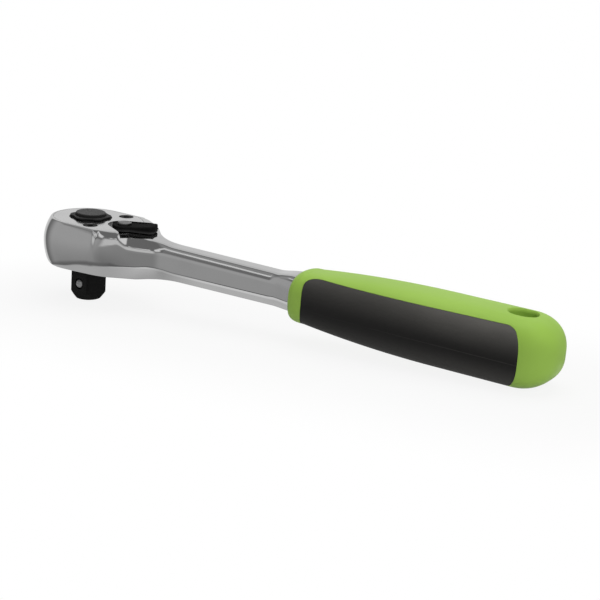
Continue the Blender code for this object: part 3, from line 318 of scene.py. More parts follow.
@dataclass(frozen=True)
class TurnedButton(Finish):
    """Dark button: turning rings on its grey top, black round its side."""

    top: float
    side: float
    edge_height: float
    rings: float

    def sockets(self, graph: Graph) -> dict:
        """Grey above the edge, black below it."""
        x, y, _ = graph.axes(graph.place())
        rings = ((x * x + y * y) ** 0.5 * self.rings).sine()
        above = graph.above(self.edge_height, 0.2 * MM)
        wear = graph.noise(500.0, 4.0)
        return {
            "Base Color": graph.blend(above * (0.8 + wear * 0.2), grey(self.side), grey(self.top)),
            "Roughness": 0.5 + wear * 0.12,
            "Specular IOR Level": 0.25,
            "Normal": graph.bump(rings * above, 0.008 * MM),
        }


@dataclass(frozen=True)
class GroundSteel(Finish):
    """Plain ground steel with fine marks."""

    level: float
    darker_grey: float
    darker_above: float

    def sockets(self, graph: Graph) -> dict:
        """Grey metal with a fine grain, darker above a height on top of the head."""
        grain = graph.noise(3800.0, 3.0, (1.0, 0.2, 1.0))
        patch = graph.noise(350.0)
        colour = graph.blend(patch, grey(self.level * 0.85), grey(self.level))
        above = graph.above(self.darker_above, 1 * MM)
        return {
            "Base Color": graph.blend(above, colour, grey(self.darker_grey)),
            "Metallic": 1.0,
            "Roughness": 0.24 + patch * 0.12,
            "Normal": graph.bump(grain, 0.006 * MM),
        }


@dataclass(frozen=True)
class LeverBlack(Finish):
    """Satin black lever with a fine cast grain and painted light along its foot."""

    level: float
    painted_foot_grey: float
    painted_light: Pair

    def sockets(self, graph: Graph) -> dict:
        """Near black with soft gloss."""
        cast = graph.noise(1500.0, 4.0)
        _, _, z = graph.axes(graph.place())
        colour = graph.blend(graph.noise(260.0), grey(self.level), grey(self.level * 1.7))
        return {
            # Painted light: grey along the foot, fading to black between the given heights, for the light
            # on the lever's lower side.
            "Base Color": graph.blend(z.step(*self.painted_light), grey(self.painted_foot_grey), colour),
            "Roughness": 0.6 + cast * 0.14,
            "Specular IOR Level": 0.01,
            "Normal": graph.bump(cast, 0.02 * MM),
        }


@dataclass(frozen=True)
class MouldedPlastic(Finish):
    """Moulded plastic with a fine spark-eroded grain and a faint tint change."""

    colour: Triple
    shade: Triple

    def sockets(self, graph: Graph) -> dict:
        """Coloured satin."""
        drift = graph.noise(28.0, 2.0).step(0.3, 0.75)
        grain = graph.noise(2400.0)
        return {
            "Base Color": graph.blend(drift, (*self.colour, 1.0), (*self.shade, 1.0)),
            "Roughness": 0.42 + grain * 0.1,
            "Specular IOR Level": 0.3,
            "Normal": graph.bump(grain, 0.022 * MM),
        }


@dataclass(frozen=True)
class SoftInlay(Finish):
    """Soft charcoal rubber: fine grain, painted light above and below that grows towards the rear, and a
    mould line with a painted highlight.
    """

    dark: Triple
    painted_light_colour: Triple
    upper: Pair
    lower: Pair
    line_height: float
    line_width: float
    rear: Pair

    def sockets(self, graph: Graph) -> dict:
        """Charcoal satin."""
        x, _, z = graph.axes(graph.place())
        rear = x.step(*self.rear)
        line = 1 - abs(z - self.line_height).step(0.0, self.line_width)
        cloud = graph.noise(55.0, 5.0, (0.4, 1.0, 1.0))
        # Painted light and reflection: lighter towards the top and bottom of the side and towards the rear,
        # with a painted highlight along the mould line, whose bump is real.
        below = (1 - z.step(*self.lower)) * 0.35
        shade = z.step(*self.upper).at_least(below) * (0.58 + rear * 0.42)
        painted_light = shade * (0.7 + cloud.step(0.3, 0.8) * 0.3) + line * rear * 0.16
        height = graph.noise(3000.0) * (0.03 * MM) + line * (0.06 * MM)
        return {
            "Base Color": graph.blend(painted_light, (*self.dark, 1.0), (*self.painted_light_colour, 1.0)),
            "Roughness": 0.6 + cloud * 0.12,
            "Specular IOR Level": 0.2,
            "Normal": graph.bump(height),
        }


FINISHES: tuple[Finish, ...] = (
    Chrome(Slot.CHROME, level=0.56, gloss=0.07, wave=0.03 * MM),
    Chrome(Slot.SATIN, level=0.58, gloss=0.1, wave=0.01 * MM),
    BlackSteel(Slot.BLACK, level=0.0075, proud_grey=0.03, proud_above=41.3 * MM),
    TurnedButton(Slot.BUTTON, top=0.045, side=0.02, edge_height=43.2 * MM, rings=21 / MM),
    GroundSteel(Slot.STEEL, level=0.36, darker_grey=0.17, darker_above=41.0 * MM),
    # The lever's painted light: the grey of its foot and the heights over which it fades to black.
    LeverBlack(Slot.LEVER, level=0.008, painted_foot_grey=0.07, painted_light=mm(38.6, 40.4)),
    MouldedPlastic(Slot.GREEN, colour=(0.35, 0.575, 0.088), shade=(0.33, 0.55, 0.08)),
    SoftInlay(
        Slot.SOFT,
        dark=(0.0125, 0.012, 0.0115),
        # The inlay's painted light: its colour, the heights where it rises at the top and the bottom, and
        # the x where it grows towards the rear.
        painted_light_colour=(0.135, 0.13, 0.121),
        upper=mm(26.0, 41.0),
        lower=mm(16.5, 25.5),
        line_height=25.8 * MM,
        line_width=0.25 * MM,
        rear=mm(150, 225),
    ),
)


def clamp(share: float) -> float:
    """A share held between 0 and 1."""
    return min(1.0, max(0.0, share))


def ease(share: float) -> float:
    """Smooth 0 to 1."""
    share = clamp(share)
    return share * share * (3 - 2 * share)


def shares(count: int) -> list[float]:
    """Even shares of a way, from its first step to 1."""
    return [index / count for index in range(1, count + 1)]


def gathered(count: int) -> list[float]:
    """Shares of a way from 0 to 1 that lie closer towards both ends."""
    return [0.5 - 0.5 * cos(pi * share) for share in (0.0, *shares(count))]


def run(x: float, stops: Stops) -> tuple[float, ...]:
    """Values at x of a curve that eases from one stop to the next, each with its x first."""
    values = stops[0][1:]
    for (start, *low), (end, *high) in zip(stops, stops[1:]):
        if x > start:
            share = ease((x - start) / (end - start))
            values = tuple(a + (b - a) * share for a, b in zip(low, high))
    return values


def arc(centre: Pair, radius: float, start: float, end: float, count: int) -> list[Pair]:
    """Points on an arc, ends included."""
    angles = [start + (end - start) * share for share in (0.0, *shares(count))]
    return [(centre[0] + radius * cos(a), centre[1] + radius * sin(a)) for a in angles]


def polygon(radius: float, sides: int) -> list[Pair]:
    """Points spaced evenly round the origin."""
    return arc(CENTRE, radius, 0.0, tau * (sides - 1) / sides, sides - 1)


def bend(start: Pair, corner: Pair, end: Pair, count: int) -> list[Pair]:
    """Points of a soft corner between two points."""
    points = []
    for t in (0.0, *shares(count)):
        weights = ((1 - t) ** 2, 2 * t * (1 - t), t * t)
        points.append(tuple(sum(w * p for w, p in zip(weights, axis)) for axis in zip(start, corner, end)))
    return points


def towards(point: Pair, target: Pair, length: float, limit: float = 0.48) -> Pair:
    """The point that lies a length on the way to a target, or at most a share of the way."""
    gap = dist(point, target)
    share = min(limit, length / gap) if gap else 0.0
    return tuple(p + (t - p) * share for p, t in zip(point, target))


def linked(name: str, data: bpy.types.ID) -> Piece:
    """A new object in the scene."""
    obj = bpy.data.objects.new(name, data)
    bpy.context.scene.collection.objects.link(obj)
    return obj


def from_bmesh(shape: bmesh.types.BMesh, name: str) -> Piece:
    """An object of a finished bmesh."""
    bmesh.ops.remove_doubles(shape, verts=shape.verts, dist=WELD)
    bmesh.ops.recalc_face_normals(shape, faces=shape.faces)
    mesh = bpy.data.meshes.new(name)
    shape.to_mesh(mesh)
    shape.free()
    return linked(name, mesh)


def band(shape: bmesh.types.BMesh, ring: Sequence, following: Sequence) -> None:
    """Faces between two closed rings of points."""
    for index in range(len(ring)):
        shape.faces.new((ring[index - 1], ring[index], following[index], following[index - 1]))


def loft(name: str, rings: Sequence[Sequence[Triple]]) -> Piece:
    """A closed skin over equal closed rings, with both ends capped."""
    shape = bmesh.new()
    rows = [[shape.verts.new(point) for point in ring] for ring in rings]
    for row, following in zip(rows, rows[1:]):
        band(shape, row, following)
    shape.faces.new(rows[0][::-1])
    shape.faces.new(rows[-1])
    return from_bmesh(shape, name)


def spun(name: str, profile: Sequence[Pair], at: Pair = CENTRE, sides: int = 96) -> Piece:
    """A turned piece about a vertical axis.

    Args:
        name: Name of the object.
        profile: (radius, height) points from the top of the axis to its bottom.
        at: Place of the axis.
        sides: Steps round the axis.

    Returns:
        The closed object.
    """
    return loft(name, [
        [(at[0] + x, at[1] + y, height) for x, y in polygon(radius, sides)] for radius, height in profile
    ])


def bore(name: str, radius: float, low: float, high: float) -> Piece:
    """A plain round cutter on the drive axis."""
    return spun(name, [(radius, high), (radius, low)])


def prism(name: str, outline: Sequence[Pair], low: float, high: float) -> Piece:
    """An outline raised between two heights."""
    return loft(name, [[(x, y, z) for x, y in outline] for z in (low, high)])


def stadium(radius: float, stretch: float, count: int = 48) -> list[Pair]:
    """A round outline drawn out along +X."""
    rear = arc((stretch, 0.0), radius, -QUARTER, QUARTER, count)
    return rear + arc(CENTRE, radius, QUARTER, 3 * QUARTER, count)


def modify(obj: Piece, kind: str, **settings: object) -> bpy.types.Modifier:
    """Add a modifier with its settings."""
    modifier = obj.modifiers.new(kind.lower(), kind)
    for name, value in settings.items():
        setattr(modifier, name, value)
    return modifier


def settle(obj: Piece) -> None:
    """Turn an object and its modifiers into a plain mesh."""
    graph = bpy.context.evaluated_depsgraph_get()
    mesh = bpy.data.meshes.new_from_object(obj.evaluated_get(graph))
    old = obj.data
    obj.modifiers.clear()
    obj.data = mesh
    bpy.data.meshes.remove(old)
    mesh.name = obj.name


def carve(obj: Piece, *cutters: Piece) -> None:
    """Cut pieces out of an object and take the cutters away."""
    for cutter in cutters:
        modify(obj, "BOOLEAN", operation="DIFFERENCE", solver="EXACT", object=cutter)
    settle(obj)
    for cutter in cutters:
        bpy.data.objects.remove(cutter, do_unlink=True)


def polish(obj: Piece, edge: float = 0.0) -> Piece:
    """Round an object's edges and smooth its faces.

    Args:
        obj: Piece to finish.
        edge: Width of the rounding along sharp edges, or 0 for none.

    Returns:
        The same piece.
    """
    if edge:
        modify(obj, "BEVEL", width=edge, segments=3, limit_method="ANGLE", angle_limit=SHARP)
        settle(obj)
    obj.data.polygons.foreach_set("use_smooth", [True] * len(obj.data.polygons))
    obj.data.set_sharp_from_angle(angle=SHARP)
    modify(obj, "WEIGHTED_NORMAL", keep_sharp=True, weight=80)
    settle(obj)
    return obj


class Grown:
    """A Geometry Nodes tree with named inputs, which makes one dressed object."""

    def __init__(self, name: str, kinds: dict[str, str]) -> None:
        """Open a tree for an object, with its inputs' kinds by name and a finish."""
        self.name = name
        tree = bpy.data.node_groups.new(name, "GeometryNodeTree")
        self.graph = Graph(tree)
        kinds = {"Geometry": "Geometry", **kinds, "finish": "Material"}
        self.keys = {
            key: tree.interface.new_socket(key, in_out="INPUT", socket_type="NodeSocket" + kind).identifier
            for key, kind in kinds.items()
        }
        tree.interface.new_socket("Geometry", in_out="OUTPUT", socket_type="NodeSocketGeometry")
        self.inputs = self.graph.outputs("NodeGroupInput")

    def make(self, shape: Value, **values: object) -> Piece:
        """Run the tree and keep its result as a plain mesh.

        Args:
            shape: Output that the tree ends on, before it is made real and dressed.
            values: What its inputs are set to, by name.

        Returns:
            The new object.
        """
        graph = self.graph
        real = graph.add("GeometryNodeRealizeInstances", {"Geometry": shape})
        inputs = {"Geometry": real, "Material": self.inputs["finish"]}
        dressed = graph.add("GeometryNodeSetMaterial", inputs)
        graph.add("NodeGroupOutput", {"Geometry": dressed})
        obj = from_bmesh(bmesh.new(), self.name)
        modifier = modify(obj, "NODES", node_group=graph.tree)
        for key, value in values.items():
            modifier[self.keys[key]] = value
        settle(obj)
        return obj


class Workshop:
    """Finishes by slot, with the one place where a piece is dressed and hung on its body."""

    def __init__(self, frame: dict) -> None:
        """Make every finish once and keep the loaded frame."""
        self.frame = frame
        self.finishes = {finish.slot: finish.make() for finish in FINISHES}

    def fit(self, obj: Piece, body: Body, slot: Slot, *nodes: str) -> Piece:
        """Dress a new piece and let it stand for solids.

        Args:
            obj: Finished piece.
            body: Moving group that it belongs to.
            slot: Its finish.
            nodes: Solids that it stands for.

        Returns:
            The same piece.
        """
        obj.data.materials.clear()
        obj.data.materials.append(self.finishes[slot])
        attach(obj, body.value)
        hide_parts(*nodes)
        LOG.info("%s: %d faces, for %s", obj.name, len(obj.data.polygons), ", ".join(nodes))
        return obj

    def dress(self, nodes: Iterable[str], slot: Slot) -> None:
        """Give solids that stay a finish."""
        for name in nodes:
            for holder in self.frame["nodes"][name].material_slots:
                holder.material = self.finishes[slot]
            LOG.info("%s: kept solid in %s", name, slot.value)

    def refined(self, node: str, name: str, edge: float = 0.0) -> Piece:
        """A copy of a solid with merged points, flat faces joined and soft edges."""
        shape = bmesh.new()
        shape.from_mesh(self.frame["nodes"][node].data)
        bmesh.ops.remove_doubles(shape, verts=shape.verts, dist=WELD)
        bmesh.ops.dissolve_limit(shape, angle_limit=COPLANAR, verts=shape.verts, edges=shape.edges)
        return polish(from_bmesh(shape, name), edge)


@dataclass
class Forging:
    """Head, neck and shank in one chromed piece.

    The curves' stops give an x and the value there. Chamfers have an inset and a depth, the crease,
    the ridge and the low crease are widths of soft edges, and the bulge is the facet's roundness.
    """

    head_radius: float = 22.5 * MM
    head_bottom: float = 18.0 * MM
    head_top: float = 41.0 * MM
    flank_length: float = 15.5 * MM
    flank_angle: float = radians(34)
    neck_fillet: float = 14.0 * MM
    neck_start: float = 30.0 * MM
    neck_end: float = 55.0 * MM
    neck_softness: float = 1.3
    belly_start: float = 38.0 * MM
    belly_end: float = 58.0 * MM
    shank_half: float = 6.7 * MM
    shank_top: float = 36.8 * MM
    shank_bottom: float = 20.2 * MM
    shank_taper: float = 1.0 * MM
    shank_end: float = 128.3 * MM
    flare_start: float = 110.5 * MM
    flare_end: float = 123.0 * MM
    flare_top: float = 1.3 * MM
    flare_side: float = 1.2 * MM
    flare_bottom: float = 0.3 * MM
    handle_front: float = 124.3 * MM
    crown: Stops = (mm(15.0, 3.0), mm(37.0, 0.0))
    low_crown: Stops = (mm(15.5, 2.0), mm(40.5, 0.0))
    chamfer: Stops = (
        mm(18.5, 0.5, 0.5),
        mm(21.0, 1.6, 2.3),
        mm(30.0, 3.3, 3.2),
        mm(35.0, 4.7, 6.2),
        mm(55.0, 3.2, 4.1),
        mm(110.5, 3.2, 4.1),
        mm(123.0, 4.2, 6.4),
    )
    low_chamfer: Stops = (mm(-8.0, 1.0, 1.0), mm(40.0, 4.0, 7.0), mm(58.0, 3.2, 4.1))
    crease: Stops = (mm(18.5, 0.6), mm(35.0, 1.1))
    ridge: Stops = (mm(21.0, 0.6), mm(27.5, 2.6), mm(30.0, 2.6), mm(35.0, 1.6), mm(55.0, 0.6))
    low_crease: Stops = (
        mm(-12.0, 1.6),
        mm(2.0, 1.0),
        mm(9.0, 2.0),
        mm(18.0, 0.8),
        mm(36.0, 0.7),
        mm(54.0, 1.4),
        mm(110.5, 1.4),
        mm(116.5, 4.0),
    )
    bulge: Stops = ((35.0 * MM, 0.12), (55.0 * MM, 0.35), (110.5 * MM, 0.35), (116.5 * MM, 1.0))
    corner_softness: float = 0.6 * MM
    ridge_limit: float = 0.3
    low_limit: float = 0.2
    facet_limit: float = 0.4
    flat_shares: tuple[float, ...] = (0.0, 0.35, 0.7, 0.92)
    plan_steps: tuple[int, ...] = (48, 12, 30, 30, 24, 40, 30)
    edge_steps: tuple[int, ...] = (6, 14, 8, 24, 6, 5)
    cover_radius: float = 18.0 * MM
    cover_stretch: float = 10.0 * MM
    cover_gap: float = 0.12 * MM
    recess_floor: float = 36.7 * MM
    gear_bore: float = 14.1 * MM
    gear_floor: float = 22.0 * MM
    hub_bore: float = 9.35 * MM
    spindle_x: float = 21.3 * MM
    lever_floor: float = 38.4 * MM
    lever_recess: float = 8.0 * MM
    lever_recess_angle: float = radians(30)
    lever_recess_length: float = 24.0 * MM

    def rounded(self, centre: float, angle: float) -> Triple:
        """Station on a round of the head about a point of the X axis."""
        radius = self.head_radius
        return centre + radius * cos(angle), max(0.0, radius * sin(angle)), angle

    def plan(self) -> list[Triple]:
        """Stations (x, half width, direction of the outline's normal) from the front to the end."""
        head, side, corner, flank, neck, shank, flare = map(shares, self.plan_steps)
        turn, fillet, narrow = self.flank_angle, self.neck_fillet, self.shank_half
        stations = [self.rounded(0.0, pi - QUARTER * share) for share in (0.0, *head)]
        stations += [(self.flank_length * share, self.head_radius, QUARTER) for share in side]
        stations += [self.rounded(self.flank_length, QUARTER - turn * share) for share in corner]
        x, half, normal = stations[-1]
        down, across = sin(turn), cos(turn)
        slope = (half - narrow - fillet * (1 - across)) / down
        stations += [(x + across * slope * share, half - down * slope * share, normal) for share in flank]
        x = stations[-1][0]
        for angle in [turn * (1 - share) for share in neck]:
            half = narrow + fillet * (1 - cos(angle))
            stations.append((x + fillet * (down - sin(angle)), half, QUARTER - angle))
        x = stations[-1][0]
        stations += [(x + (self.flare_start - x) * share, narrow, QUARTER) for share in shank]
        for x in [self.flare_start + (self.shank_end - self.flare_start) * share for share in flare]:
            stations.append((x, narrow + self.flare_side * self.flared(x), QUARTER))
        return stations

    def flared(self, x: float) -> float:
        """Share of the flare in front of the handle that is done at x."""
        return ease((x - self.flare_start) / (self.flare_end - self.flare_start))

    def blend(self, x: float, start: float, end: float) -> float:
        """Share of a neck blend that is done at x."""
        return sin(clamp((x - start) / (end - start)) ** self.neck_softness * QUARTER)

    def taper(self, x: float) -> float:
        """How far the shank's top and bottom have closed in at x."""
        return self.shank_taper / 2 * clamp((x - self.neck_end) / (self.handle_front - self.neck_end))

    def top(self, x: float) -> float:
        """Height of the top at x."""
        drop = (self.head_top - self.shank_top) * self.blend(x, self.neck_start, self.neck_end)
        return self.head_top - drop - self.taper(x) + self.flare_top * self.flared(x)

    def bottom(self, x: float) -> float:
        """Height of the bottom at x."""
        rise = (self.shank_bottom - self.head_bottom) * self.blend(x, self.belly_start, self.belly_end)
        return self.head_bottom + rise + self.taper(x) - self.flare_bottom * self.flared(x)

    def profile(self, x: float) -> list[Pair]:
        """Edge of the section at x as (inset, height) points from its top to its bottom."""
        curves = (self.crown, self.low_crown, self.crease, self.ridge, self.low_crease, self.bulge)
        crown, low_crown, crease, ridge, low_crease, bulge = (run(x, curve)[0] for curve in curves)
        inset, depth = run(x, self.chamfer)
        low_inset, low_depth = run(x, self.low_chamfer)
        top, bottom = self.top(x), self.bottom(x)
        high, low = top - depth, bottom + low_depth

        def facet(share: float) -> Pair:
            turn = share * QUARTER
            pull = (1 - bulge) * (1 - share) + bulge * (1 - sin(turn))
            drop = (1 - bulge) * share + bulge * (1 - cos(turn))
            return crown + inset * pull, top - depth * drop

        def wall(share: float) -> Pair:
            bow = crown if share < 0.5 else low_crown
            return bow * (2 * share - 1) ** 2, high + (low - high) * share

        width, height = hypot(inset, depth), high - low
        begin, finish = min(self.facet_limit, crease / width), 1 - min(self.facet_limit, ridge / width)
        upper, lower = min(self.ridge_limit, ridge / height), 1 - min(self.low_limit, low_crease / height)
        edge, corner = (low_crown, low), (low_crown + low_inset, bottom)
        soft = self.corner_softness
        over, face, under, side, foot, rim = self.edge_steps
        points = bend((crown + inset + min(crease, inset), top), (crown + inset, top), facet(begin), over)
        points += [facet(begin + (finish - begin) * share) for share in shares(face)[:-1]]
        points += bend(facet(finish), (crown, high), wall(upper), under)
        points += [wall(upper + (lower - upper) * share) for share in shares(side)[:-1]]
        points += bend(wall(lower), edge, towards(edge, corner, low_crease), foot)
        points += bend(towards(corner, edge, soft), corner, (corner[0] + min(soft, low_inset), bottom), rim)
        return points

    def ring(self, station: Triple) -> list[Triple]:
        """Closed section at a station."""
        x, half, normal = station
        side = [
            (x - cos(normal) * pull, max(0.0, half - sin(normal) * pull), height)
            for pull, height in self.profile(x)
        ]
        (top_x, top_y, top_z), (low_x, low_y, low_z) = side[0], side[-1]
        points = [(top_x, top_y * share, top_z) for share in self.flat_shares]
        points += side
        points += [(low_x, low_y * share, low_z) for share in reversed(self.flat_shares)]
        return points + [(px, -py, pz) for px, py, pz in points[-2:0:-1]]

    def fan(self, name: str) -> Piece:
        """Cutter for the recess in which the lever swings."""
        tangent = QUARTER + self.lever_recess_angle
        outline = arc((self.spindle_x, 0.0), self.lever_recess, tangent, tau - tangent, 60)
        end_x = self.spindle_x + self.lever_recess_length
        x, y = outline[0]
        spread = y + (end_x - x) * tan(self.lever_recess_angle)
        outline += [(end_x, -spread), (end_x, spread)]
        return prism(name, outline, self.lever_floor, self.head_top + OVERCUT)

    def build(self) -> Piece:
        """Skin with the beds of the cover, the gear and the lever cut in."""
        forging = loft("forging", [self.ring(station) for station in self.plan()])
        above = self.head_top + OVERCUT
        bed = stadium(self.cover_radius + self.cover_gap, self.cover_stretch)
        carve(
            forging,
            prism("cover_bed", bed, self.recess_floor, above),
            bore("gear_bed", self.gear_bore, self.gear_floor, above),
            bore("hub_bed", self.hub_bore, self.head_bottom - OVERCUT, above),
            self.fan("lever_bed"),
        )
        return polish(forging)


@dataclass
class Cover:
    """Flat cover over the gear, with its two screws."""

    forging: Forging
    thickness: float = 4.0 * MM
    edge: float = 0.12 * MM
    hub_hole: float = 10.45 * MM
    screw_x: float = 11.3 * MM
    screw_y: float = 13.6 * MM
    screw_radius: float = 3.5 * MM
    screw_top: float = 40.88 * MM
    screw_rim: float = 0.2 * MM
    screw_break: Pair = mm(0.15, 0.12)
    screw_edge: float = 0.06 * MM
    screw_depth: float = 1.7 * MM
    screw_shank: float = 1.6 * MM
    screw_length: float = 9.0 * MM
    socket: float = 1.5 * MM
    socket_depth: float = 1.1 * MM
    seat: float = 0.12 * MM

    def build(self) -> Piece:
        """Plate with its hub hole, screw seats and lever recess."""
        top = self.forging.head_top
        low = top - self.thickness
        above, below = top + OVERCUT, low - OVERCUT
        plate = prism("cover", stadium(self.forging.cover_radius, self.forging.cover_stretch), low, top)
        wide, slim = self.screw_radius + self.seat, self.screw_shank + self.seat
        bearing = self.screw_top - self.seat
        profile = [
            (wide, above),
            (wide, bearing - self.screw_rim),
            (slim, bearing - self.screw_depth),
            (slim, below),
        ]
        seats = [spun("screw_seat", profile, (self.screw_x, y)) for y in (-self.screw_y, self.screw_y)]
        hole = bore("hub_hole", self.hub_hole, below, above)
        carve(plate, hole, *seats, self.forging.fan("cover_fan"))
        return polish(plate, self.edge)

    def screw(self) -> Piece:
        """One countersunk socket screw on the origin's axis."""
        top = self.screw_top
        broken, drop = self.screw_break
        screw = spun("screw", [
            (self.screw_radius - broken, top),
            (self.screw_radius, top - drop),
            (self.screw_radius, top - self.screw_rim),
            (self.screw_shank, top - self.screw_depth),
            (self.screw_shank, top - self.screw_length),
        ])
        carve(screw, prism("socket", polygon(self.socket, 6), top - self.socket_depth, top + OVERCUT))
        return polish(screw, self.screw_edge)

    def screws(self, material: bpy.types.Material) -> Piece:
        """Both screws, set out by a node tree with the row's start and pitch as inputs."""
        single = self.screw()
        grown = Grown("cover_screws", {"screw": "Object", "start": "Vector", "pitch": "Vector"})
        graph, taken = grown.graph, grown.inputs
        line = {"Count": 2, "Start Location": taken["start"], "Offset": taken["pitch"]}
        row = graph.add("GeometryNodeMeshLine", line)
        shape = graph.add("GeometryNodeObjectInfo", {"Object": taken["screw"]}, output="Geometry")
        placed = graph.add("GeometryNodeInstanceOnPoints", {"Points": row, "Instance": shape})
        screws = grown.make(
            placed,
            screw=single,
            start=(self.screw_x, -self.screw_y, 0.0),
            pitch=(0.0, 2 * self.screw_y, 0.0),
            finish=material,
        )
        bpy.data.objects.remove(single, do_unlink=True)
        return screws


@dataclass
class Drive:
    """Square drive, collar, button, ball and spring on the turning axis."""

    gear_edge: float = 0.12 * MM
    collar_radius: float = 10.6 * MM
    collar_corner: float = 2.4 * MM
    collar_hollow: float = 0.3 * MM
    collar_turn: float = radians(34)
    collar_low: float = 41.3 * MM
    collar_high: float = 42.0 * MM
    collar_edge: float = 0.12 * MM
    button_hole: float = 7.55 * MM
    button_radius: float = 7.3 * MM
    button_top: float = 43.5 * MM
    button_low: float = 40.1 * MM
    button_edge: float = 0.55 * MM
    button_dish: float = 0.12 * MM
    dish_shares: tuple[float, ...] = (0.02, 0.3, 0.55, 0.75, 0.9, 1.0)
    ball_radius: float = 2.5 * MM
    ball_steps: int = 40
    pole: float = 0.02
    press: float = 2.2 * MM

    def collar_outline(self) -> list[Pair]:
        """Six soft corners joined by slightly hollow sides."""
        turn = Matrix.Rotation(self.collar_turn, 2)
        corners = [tuple(turn @ Vector(point)) for point in polygon(self.collar_radius, 6)]
        outline = []
        for index, corner in enumerate(corners):
            before, after = corners[index - 1], corners[(index + 1) % 6]
            start, end = (towards(corner, other, self.collar_corner) for other in (before, after))
            outline += bend(start, corner, end, 8)
            far = towards(after, corner, self.collar_corner)
            for share in shares(12)[:-1]:
                pull = 1 - self.collar_hollow / self.collar_radius * sin(pi * share)
                outline.append(tuple((e + (f - e) * share) * pull for e, f in zip(end, far)))
        return outline

    def collar(self) -> Piece:
        """Flat six-sided collar round the button."""
        low, high = self.collar_low, self.collar_high
        collar = prism("collar", self.collar_outline(), low, high)
        carve(collar, bore("button_hole", self.button_hole, low - OVERCUT, high + OVERCUT))
        return polish(collar, self.collar_edge)

    def button(self) -> Piece:
        """Release button with a slightly dished top and a soft rim."""
        radius, top, low, edge = self.button_radius, self.button_top, self.button_low, self.button_edge
        flat = radius - edge
        profile = [(flat * share, top - self.button_dish * (1 - share**4)) for share in self.dish_shares]
        profile += bend((flat, top), (radius, top), (radius, top - edge), 6)[1:]
        profile += [(radius, low), (self.dish_shares[0] * flat, low)]
        return polish(spun("button", profile, sides=128))

    def ball(self) -> Piece:
        """Steel ball where the solid one is."""
        low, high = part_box("detent_ball")
        centre = (low + high) / 2
        pitch = pi / (self.ball_steps + 2 * self.pole)
        angles = [pitch * (index + self.pole) for index in range(self.ball_steps + 1)]
        radius = self.ball_radius
        profile = [(radius * sin(angle), centre.z + radius * cos(angle)) for angle in angles]
        return polish(spun("ball", profile, (centre.x, centre.y), 64))

    def coil(self, shop: Workshop) -> None:
        """Spring under the button, on a mesh of its own."""
        coil = shop.refined("release_spring", "release_coil")
        shop.fit(coil, Body.DRIVE, Slot.STEEL, "release_spring")
        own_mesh(coil)


@dataclass
class Lever:
    """Flip lever with its slotted cap screw."""

    pivot: Pair = mm(21.3, 0.0)
    turn: float = radians(22)
    length: float = 16.0 * MM
    boss_radius: float = 5.9 * MM
    waist: float = 4.45 * MM
    end_half: float = 4.9 * MM
    end_corner: float = 2.8 * MM
    end_point: float = 0.02 * MM
    low: float = 38.7 * MM
    boss_top: float = 41.2 * MM
    end_rise: float = 1.3 * MM
    edge: float = 0.75 * MM
    cap_radius: float = 3.4 * MM
    cap_top: float = 42.3 * MM
    cap_low: float = 41.1 * MM
    cap_edge: float = 0.35 * MM
    cap_shank: float = 1.1 * MM
    cap_shank_low: float = 33.4 * MM
    slot_half: float = 0.4 * MM
    slot_reach: float = 4.08 * MM
    slot_depth: float = 0.7 * MM
    slot_turn: float = radians(58)
    slot_edge: float = 0.08 * MM

    @staticmethod
    def corner(radius: float, into: float) -> float:
        """How far a round corner falls back at a distance into it."""
        return radius - sqrt(max(0.0, radius**2 - into**2)) if into > 0 else 0.0

    def half_width(self, along: float) -> float:
        """Half width at a distance from the pivot."""
        boss = sqrt(max(0.0, self.boss_radius**2 - along**2))
        if along <= 0:
            return boss
        tail, = run(along, ((0.0, self.waist), (self.length, self.end_half)))
        return max(boss, tail - self.corner(self.end_corner, along - (self.length - self.end_corner)))

    def ring(self, along: float) -> list[Triple]:
        """Section across the lever, with soft long edges."""
        half = max(self.end_point, self.half_width(along))
        rise = max(0.0, (along - self.boss_radius) / (self.length - self.boss_radius))
        high = self.boss_top + self.end_rise * rise
        near = min(along + self.boss_radius, self.length - along)
        pull = self.corner(self.edge, self.edge - near)
        soft = min(self.edge, half)
        points = []
        for index, (side_y, side_z) in enumerate(((1, 1), (-1, 1), (-1, -1), (1, -1))):
            level = high - pull if side_z > 0 else self.low + pull / 2
            radius = soft if side_z > 0 else soft / 2
            centre = (side_y * (half - radius), level - side_z * radius)
            points += arc(centre, radius, index * QUARTER, (index + 1) * QUARTER, 6)
        return [(along, y, z) for y, z in points]

    def build(self) -> Piece:
        """Lever, turned to where it rests in the photograph."""
        span = self.length + self.boss_radius
        lever = loft("lever", [self.ring(span * share - self.boss_radius) for share in gathered(90)])
        lever.data.transform(Matrix.Translation((*self.pivot, 0.0)) @ Matrix.Rotation(self.turn, 4, "Z"))
        return polish(lever)

    def cap(self) -> Piece:
        """Round screw head with a slot."""
        radius, top, edge = self.cap_radius, self.cap_top, self.cap_edge
        profile = bend((radius - edge, top), (radius, top), (radius, top - edge), 5)
        profile += [(radius, self.cap_low), (self.cap_shank, self.cap_low)]
        cap = spun("lever_cap", [*profile, (self.cap_shank, self.cap_shank_low)], self.pivot)
        wide, thin = self.slot_reach, self.slot_half
        turn = Matrix.Rotation(self.slot_turn, 2)
        corners = ((-wide, -thin), (wide, -thin), (wide, thin), (-wide, thin))
        outline = [tuple(turn @ Vector(corner) + Vector(self.pivot)) for corner in corners]
        carve(cap, prism("slot", outline, top - self.slot_depth, top + OVERCUT))
        return polish(cap, self.slot_edge)


SKIN_SIZES = (
    "front", "length", "middle", "front_width", "rear_width", "front_height", "rear_height", "flare_start",
    "flare_length", "squareness", "nose_length", "nose_inset", "nose_drop", "nose_rounding", "dome",
    "dome_squareness", "nose_share",
)


